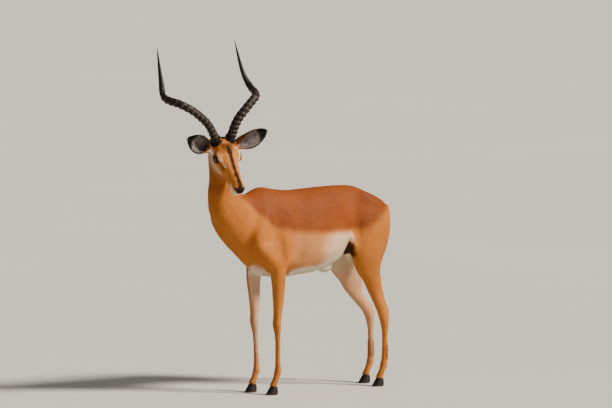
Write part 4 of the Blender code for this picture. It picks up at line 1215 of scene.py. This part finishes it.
def tuft_mesh(name, p, n, way, length, width, lift, bend=0.0, steps=1):
    """Solid tufts in one mesh: each a flattened three-sided spike that starts in the skin."""
    count = len(p)
    side = np.cross(n, way)
    spin = rng.normal(0, 0.16, count)[:, None]
    way = way + side * spin
    way /= np.linalg.norm(way, axis=1)[:, None]
    side = np.cross(n, way)
    length, width, lift = (np.broadcast_to(v, count)[:, None] for v in (length, width, lift))
    root = p - n * ROOT_DEPTH
    rows = []
    for k in range(steps):
        t = k / steps
        middle = root + way * length * t + n * ((lift + ROOT_DEPTH) * t + bend * length * t * t)
        half = width * 0.5 * (1 - 0.35 * t)
        ridge = middle + n * width * 0.34 * (1 - 0.5 * t)
        rows.append(np.stack([middle - side * half, middle + side * half, ridge], 1))
    tip = root + way * length + n * (lift + ROOT_DEPTH + bend * length)
    points = np.concatenate([*rows, tip[:, None]], 1)
    each = points.shape[1]
    faces = [(0, 2, 1)]
    for k in range(steps - 1):
        for i in range(3):
            a, b = 3 * k + i, 3 * k + (i + 1) % 3
            faces += [(a, b, b + 3), (a, b + 3, a + 3)]
    last = 3 * (steps - 1)
    faces += [(last + i, last + (i + 1) % 3, each - 1) for i in range(3)]
    faces = np.array(faces)
    tris = (faces[None] + (np.arange(count) * each)[:, None, None]).reshape(-1, 3)
    mesh = bpy.data.meshes.new(name)
    mesh.vertices.add(count * each)
    mesh.vertices.foreach_set("co", np.ascontiguousarray(points.reshape(-1), np.float32))
    mesh.loops.add(len(tris) * 3)
    mesh.loops.foreach_set("vertex_index", np.ascontiguousarray(tris.reshape(-1), np.int32))
    mesh.polygons.add(len(tris))
    mesh.polygons.foreach_set("loop_start", np.arange(0, len(tris) * 3, 3, dtype=np.int32))
    mesh.update(calc_edges=True)
    # a tuft is marked as the skin a little way off is, so that the markings have ragged edges
    ahead, aside = rng.normal(0, 0.30, (count, 1)), rng.normal(0, 0.22, (count, 1))
    seen = p + way * ahead * length + side * aside * length
    write_marks(mesh, np.repeat(marks_at(seen, n), each, axis=0))
    place = flat_places(*unrolled(p, n))
    patch = 0.0030 * np.array([(0, 0), (1, 0), (0.5, 0.9)])
    write_maps(mesh, np.broadcast_to((place[:, None] + patch)[:, None], (count, len(faces), 3, 2)))
    mesh.shade_smooth()
    own = normals_of(mesh)
    blended = own * 0.35 + np.repeat(n, each, axis=0) * 0.65
    mesh.normals_split_custom_set_from_vertices(blended / np.linalg.norm(blended, axis=1)[:, None])
    return mesh


def between(value, low, high):
    return (value > low) & (value < high)


LEG_TOP, NECK_X = 0.545, 0.30  # where one piece of the coat ends and the next begins
skin_middles, skin_facing = skin_points[skin_tris].mean(1), skin_normals[skin_tris].mean(1)
mid_x, mid_y, mid_z = skin_middles.T
h_mid = local(INTO_HEAD, skin_middles)
is_ear = ear_share(skin_middles) > 0.5
is_head = (beyond(skin_middles, *THROAT) > 0) & ~is_ear
is_leg = (mid_z < LEG_TOP) & ~is_head & ~is_ear
is_tail = (mid_x < -0.436) & (np.abs(mid_y) < 0.024) & (mid_z < 0.80)
bald = mid_z < CORONET_HEIGHT + 0.002
bald |= is_head & (h_mid[:, 0] > 0.241) & (np.abs(h_mid[:, 1]) < 0.013) & between(h_mid[:, 2], -0.046, -0.013)
for side in (1, -1):
    r, share, outness, _ = around_eye(h_mid, side)
    bald |= (r < 0.026) & (outness > 0.2) & (share < 1.22)
    bald |= to_line(h_mid, nostril(side))[0] < 0.0062
    base = np.array(INTO_HEAD @ horn_path(side)[0])
    bald |= np.linalg.norm(h_mid - base, axis=1) < 0.012
is_body = ~is_head & ~is_ear & ~is_leg
is_trunk = is_body & ~is_tail & (mid_x < NECK_X)
coat_parts = {
    "coat_trunk_left": is_trunk & (mid_y > 0),
    "coat_trunk_right": is_trunk & (mid_y <= 0),
    "coat_neck": is_body & (mid_x >= NECK_X),
    "coat_head": is_head,
    "coat_ears": is_ear,
    "coat_forelegs": is_leg & (mid_x > 0),
    "coat_hind_legs": is_leg & (mid_x <= 0),
}
many = hair_at(skin_middles)[2]
for name, mine in coat_parts.items():
    p, n = roots(many, mine & ~bald)
    length, width, _ = hair_at(p)
    vary = rng.normal(1, 0.16, len(p)).clip(0.6, 1.5)
    lift = length * rng.normal(0.13, 0.035, len(p)).clip(0.04, 0.25)
    mesh = tuft_mesh(name, p, n, lie_at(p, n), length * vary, width * vary, lift)
    settled(name, mesh, COAT, "coat")

# Longer hair: a dark tuft between the horns, a fringe along the ears' edges and pale hairs in them, the
# tail's plume, black brushes on the hind feet and a thin fringe where the belly's hair hangs down.

in_ear, ear_edge = np.zeros(len(areas)), np.zeros(len(areas), bool)
for side in (1, -1):
    e = local(ear_frame(side).inverted(), skin_middles)
    _, turn_share, inward = within_ear(e, skin_facing @ np.array(ear_frame(side).to_3x3()))
    mine = is_ear & (e[:, 0] > -0.02) & about_ear(e)
    ear_edge |= mine & (turn_share > 0.86)
    hollow = mine & (inward > 0.3)
    in_ear = np.maximum(in_ear, hollow * smooth(0.11, 0.04, e[:, 0]) * smooth(0.25, 0.75, turn_share))
crown_place = is_head & between(h_mid[:, 0], -0.034, 0.004) & (np.abs(h_mid[:, 1]) < 0.030)
crown_place &= h_mid[:, 2] > -0.050
tail_place = is_tail & (mid_z < 0.79)
gland_place = (np.abs(mid_z - 0.165) < 0.032) & (mid_x < -0.385) & ~is_tail
belly_place = between(mid_z, 0.47, 0.60) & between(mid_x, -0.14, 0.30) & (np.abs(mid_y) < 0.05)
belly_place &= skin_facing[:, 2] < -0.80
# place, tufts to the square metre, length, width, lift, bend
long_hair = {
    "crown_hair": (crown_place, 260e3, 0.018, 0.0015, 0.50, -0.20),
    "ear_fringe": (ear_edge, 240e3, 0.0085, 0.0009, 0.25, 0.0),
    "ear_hair": (in_ear, 120e3, 0.021, 0.0009, 0.25, -0.15),
    "tail_hair": (tail_place, 330e3, 0.024, 0.0016, 0.06, -0.03),
    "foot_brushes": (gland_place, 420e3, 0.015, 0.0012, 0.30, -0.1),
    "belly_hair": (belly_place, 60e3, 0.022, 0.0022, 0.30, -0.1),
}
for name, (place, many, length, width, lift, bend) in long_hair.items():
    p, n = roots(many, place * ~bald)
    vary = rng.normal(1, 0.2, len(p)).clip(0.5, 1.5)
    length, width = length * vary, width * vary
    mesh = tuft_mesh(name, p, n, lie_at(p, n), length, width, length * lift, bend, steps=2)
    settled(name, mesh, COAT, "coat")

# ---------------------------------------------------------------- eyes
# Large dark eyes at the sides of the head: a wet ball with a brown iris and a pupil that lies level,
# in a rim of bare black skin, with stiff lashes on the upper lid.

eye_finish, tree, shader = finish_of("wet dark eye", 0.12, 0.22)
ring = output_of(tree, "Attribute", "Fac", attribute_name="iris")
fibres = noise(tree, output_of(tree, "TexCoord", "Object"), 900.0, 2.0)
brown = mix(tree, fibres, (0.030, 0.012, 0.005), (0.060, 0.026, 0.010))
dark = mix(tree, band(tree, ring, 0.42, 0.50), (0.002, 0.002, 0.003), brown)
dark = mix(tree, band(tree, ring, 0.86, 0.95), dark, (0.012, 0.008, 0.006))
tree.links.new(dark, shader.inputs["Base Color"])
shader.inputs["Coat Weight"].default_value = 0.35
shader.inputs["Coat Roughness"].default_value = 0.05

lid_finish, tree, shader = finish_of("bare black lid", 0.5, 0.25)
folds = noise(tree, output_of(tree, "TexCoord", "Object"), 700.0)
tree.links.new(mix(tree, folds, (0.004, 0.003, 0.003), (0.010, 0.008, 0.007)), shader.inputs["Base Color"])
roughen(tree, shader, folds, 0.4, 0.0004)


def lid_rim(side, count=64):
    """Points along the edge of an eye's lids: turn round the slit, way out of the eye, place."""
    out, along, high = (Vector(way) for way in eye_axes(side))
    points = []
    for k in range(count):
        t = 2 * math.pi * k / count
        a, c = SLIT_REACH * math.cos(t), SLIT_RISE * math.sin(t)
        c += SLIT_UP - SLIT_DROOP * a * a * math.copysign(1, c)
        u = out * math.sqrt(max(0.0, 1 - a * a - c * c)) + along * a + high * c
        points.append((t, u, eye_middle(side) + u * (EYE_RADIUS + 0.0006)))
    return points


for side, word in ((1, "left"), (-1, "right")):
    bm = bmesh.new()
    place = Matrix.Translation(eye_middle(side))
    bmesh.ops.create_icosphere(bm, subdivisions=5, radius=EYE_RADIUS, matrix=place)
    ball_mesh = mesh_of(bm, "eye")
    _, _, outness, u = around_eye(points_of(ball_mesh), side)
    iris = np.where(outness > 0, np.sqrt((u[:, 0] / 0.70) ** 2 + ((u[:, 2] - 0.14) / 0.62) ** 2), 1.0)
    write_amount(ball_mesh, "iris", np.clip(iris, 0, 1))
    ball_mesh.transform(HEAD)
    ball_mesh.shade_smooth()
    settled("eyeball_" + word, ball_mesh, eye_finish, "eye", "eye_" + word)

    rim = lid_rim(side)
    rim_curve = bpy.data.curves.new("rim", "CURVE")
    rim_curve.dimensions = "3D"
    rim_curve.bevel_depth, rim_curve.bevel_resolution = 0.0010, 3
    line = rim_curve.splines.new("POLY")
    line.points.add(len(rim) - 1)
    for point, (_, _, spot) in zip(line.points, rim):
        point.co = (*spot, 1.0)
    line.use_cyclic_u = True
    rim_mesh = mesh_left_by(placed("rim", rim_curve))
    rim_mesh.transform(HEAD)
    rim_mesh.shade_smooth()
    settled("eyelid_" + word, rim_mesh, lid_finish, "hoof")

    turn = HEAD.to_3x3()
    _, along, high = (Vector(way) for way in eye_axes(side))
    p, n, way = [], [], []
    for t, u, spot in rim:
        if 0.35 < t < math.pi - 0.25:  # the upper lid
            p += [HEAD @ spot] * 2
            n += [(turn @ (u * 0.5 + high * 0.9)).normalized()] * 2
            way += [(turn @ (u + along * 0.4 * math.cos(t))).normalized()] * 2
    p, n, way = np.array(p), np.array(n), np.array(way)
    way = way - n * (way * n).sum(1)[:, None]
    way /= np.linalg.norm(way, axis=1)[:, None]
    lengths = rng.normal(0.0075, 0.0008, len(p))
    lashes = tuft_mesh("lashes", p, n, way, lengths, 0.0007, 0.0005, bend=-0.35, steps=3)
    settled("lashes_" + word, lashes, lid_finish, "hoof")

# ---------------------------------------------------------------- horns
# Two lyre-shaped horns of black keratin: strong slanting rings up to two thirds of their length, worn
# grey-brown on their crests, and above them a smooth, darker tip with fine grain along it.

HORN_RIDGES = 15
HORN_RADII = [
    (0.0, 0.0196), (0.15, 0.0180), (0.35, 0.0168), (0.56, 0.0152), (0.66, 0.0126),
    (0.76, 0.0098), (0.86, 0.0065), (0.95, 0.0030), (1.0, 0.0007),
]
HORN_START, HORN_STEP = -0.004, 0.0013
horn_finish, tree, shader = finish_of("ringed black horn", 0.48, 0.18)
grain = noise(tree, output_of(tree, "TexCoord", "Object"), 160.0, 4.0)
keratin = mix(tree, grain, (0.0045, 0.0032, 0.0028), (0.013, 0.009, 0.007))
worn = mix(tree, grain, (0.050, 0.034, 0.024), (0.120, 0.086, 0.062))
crest = output_of(tree, "Attribute", "Fac", attribute_name="crest")
tree.links.new(mix(tree, crest, keratin, worn), shader.inputs["Base Color"])
lengthwise = output_of(tree, "UVMap", "UV", uv_map="lie")
roughen(tree, shader, noise(tree, lengthwise, 1.0, 4.0, stretch=(60.0, 14.0, 1.0)), 0.5, 0.0007)

for side, word in ((1, "left"), (-1, "right")):
    path = spline([tuple(p) for p in horn_path(side)], 600)
    lengths = np.concatenate([[0], np.cumsum(np.linalg.norm(np.diff(path, axis=0), axis=1))])
    total = lengths[-1]
    ridged = 0.66 * total

    def on_path(distance):
        return Vector([np.interp(distance, lengths, path[:, axis]) for axis in range(3)])

    bm = bmesh.new()
    crest_of = bm.verts.layers.float.new("crest")
    uv_of = bm.loops.layers.uv.new("lie")
    turn_of, ring, edges = first_ring(bm, 36)
    facing = HEAD.to_3x3() @ AHEAD
    where = HORN_START
    while where < total - 0.0003:
        if where > HORN_START:
            ring, edges = next_ring(bm, edges)
        tangent = (on_path(max(where, 0) + 0.005) - on_path(max(where - 0.005, 0))).normalized()
        centre = on_path(where) + tangent * min(where, 0.0)
        toward = (facing - tangent * facing.dot(tangent)).normalized()
        across = tangent.cross(toward)
        radius = float(np.interp(max(where, 0) / total, *np.array(HORN_RADII).T))
        for v in ring:
            c, s = math.cos(v[turn_of]), math.sin(v[turn_of])
            # the rings slant: higher at the front, and stand out most there
            phase = HORN_RIDGES * (max(0.0, where - 0.006 - 0.0045 * c) / (ridged - 0.006)) ** (1 / 1.2)
            ridge_share = math.exp(-(((phase % 1.0) - 0.56) / (0.27 if phase % 1.0 < 0.56 else 0.17)) ** 2)
            fade = min(1.0, max(0.0, (ridged - where) / 0.05)) * min(1.0, max(0.0, (where - 0.004) / 0.01))
            height = 0.0040 * (1 - 0.35 * where / ridged) * fade * (0.70 + 0.30 * c)
            uneven = 0.00035 * math.sin(3 * v[turn_of] + 40 * where) * fade
            r = radius + height * ridge_share + uneven
            v.co = centre + toward * (1.06 * r * c) + across * (0.92 * r * s)
            v[crest_of] = ridge_share ** 1.5 * fade * (0.45 + 0.25 * c)
        where += HORN_STEP
    close_ends(bm)
    bmesh.ops.recalc_face_normals(bm, faces=bm.faces)
    for face in bm.faces:
        mean = face.loops[0].vert[turn_of]
        for loop in face.loops:
            turn = loop.vert[turn_of]
            turn -= 2 * math.pi * round((turn - mean) / (2 * math.pi))
            loop[uv_of].uv = (turn / (2 * math.pi) + 0.5, (loop.vert.co.z - 1.10) * 1.5)
    mesh = mesh_of(bm, "horn")
    mesh.shade_smooth()
    settled("ringed_horn_" + word, mesh, horn_finish, "horn", "horn_" + word)

# ---------------------------------------------------------------- hooves
# Each foot stands on two pointed claws of black horn: flat below, upright inside, the outer walls
# sloping in to the coronet, with faint growth rings and a paler, scuffed edge at the ground.

hoof_finish, tree, shader = finish_of("black hoof", 0.45, 0.25)
hoof_place = output_of(tree, "TexCoord", "Object")
growth = noise(tree, hoof_place, 1.0, 2.0, stretch=(20.0, 20.0, 620.0))
scuffs = noise(tree, hoof_place, 240.0, 4.0)
height = tree.nodes.new("ShaderNodeSeparateXYZ")
tree.links.new(hoof_place, height.inputs["Vector"])
horny = mix(tree, growth, (0.006, 0.0045, 0.0035), (0.014, 0.010, 0.008))
dusty = tree.nodes.new("ShaderNodeMath")
dusty.operation = "MULTIPLY"
tree.links.new(band(tree, height.outputs["Z"], 0.010, 0.0), dusty.inputs[0])
tree.links.new(scuffs, dusty.inputs[1])
tree.links.new(mix(tree, dusty.outputs["Value"], horny, (0.10, 0.072, 0.048)), shader.inputs["Base Color"])
roughen(tree, shader, growth, 0.4, 0.0006)

HEEL, TOE, HALF, SLIT = -0.021, 0.034, 0.0180, 0.0009
OUTER_WALL = 0.70  # the share of a claw's outline that runs round its outer wall
# along the claw from heel to toe, and the wall's reach there
WALL = np.array([
    (0.0, 0.30), (0.06, 0.66), (0.22, 0.94), (0.45, 1.0),
    (0.66, 0.90), (0.84, 0.62), (0.96, 0.24), (1.0, 0.0),
])
# height, how far toe and heel draw in, the wall's share of its reach
LEVELS = [
    (0.0, 0.0024, 0.003, 0.93),
    (0.0012, 0.0010, 0.001, 0.98),
    (0.004, 0.0, 0.0, 1.0),
    (0.010, 0.0042, -0.0004, 0.985),
    (0.016, 0.008, -0.001, 0.96),
    (0.022, 0.0122, 0.0, 0.925),
    (0.029, 0.0170, 0.001, 0.875),
    (0.0355, 0.021, 0.002, 0.82),
]
FEET = {
    "fore_left": (0.213, TRACK),
    "fore_right": (0.213 + RIGHT_FORE_LEAD[0][1], -TRACK),
    "hind_left": (-0.356, TRACK),
    "hind_right": (-0.356 + RIGHT_HIND_LEAD[0][1], -TRACK),
}
for foot, (x, y) in FEET.items():
    for side, word in ((1, "left"), (-1, "right")):
        bm = bmesh.new()
        turn_of, ring, edges = first_ring(bm, 48)
        for level, (z, from_toe, from_heel, share) in enumerate(LEVELS):
            if level:
                ring, edges = next_ring(bm, edges)
            back, front = HEEL + from_heel, TOE - from_toe
            for v in ring:
                t = (v[turn_of] / (2 * math.pi)) % 1.0
                if t < OUTER_WALL:  # round the outer wall, heel to toe
                    u = 0.5 - 0.5 * math.cos(math.pi * t / OUTER_WALL)
                    reach = HALF * share * float(np.interp(u, WALL[:, 0], WALL[:, 1]))
                else:  # straight back along the inner wall
                    u, reach = 1 - (t - OUTER_WALL) / (1 - OUTER_WALL), 0.0
                v.co = Vector((back + (front - back) * u, SLIT + reach, z))
        close_ends(bm)
        heel_point = Matrix.Translation((HEEL - 0.004, 0, 0))
        turned = Matrix.Translation((x, y, 0)) @ heel_point @ Matrix.Rotation(math.radians(4) * side, 4, "Z")
        place = turned @ heel_point.inverted() @ Matrix.Diagonal((1, side, 1, 1))
        bmesh.ops.transform(bm, matrix=place, verts=bm.verts)
        bmesh.ops.remove_doubles(bm, verts=bm.verts, dist=1e-6)
        bmesh.ops.recalc_face_normals(bm, faces=bm.faces)
        mesh = mesh_of(bm, "hoof")
        mesh.shade_smooth()
        mesh.set_sharp_from_angle(angle=math.radians(45))
        settled(f"hoof_{foot}_{word}", mesh, hoof_finish, "hoof", f"claw_{foot}_{word}")
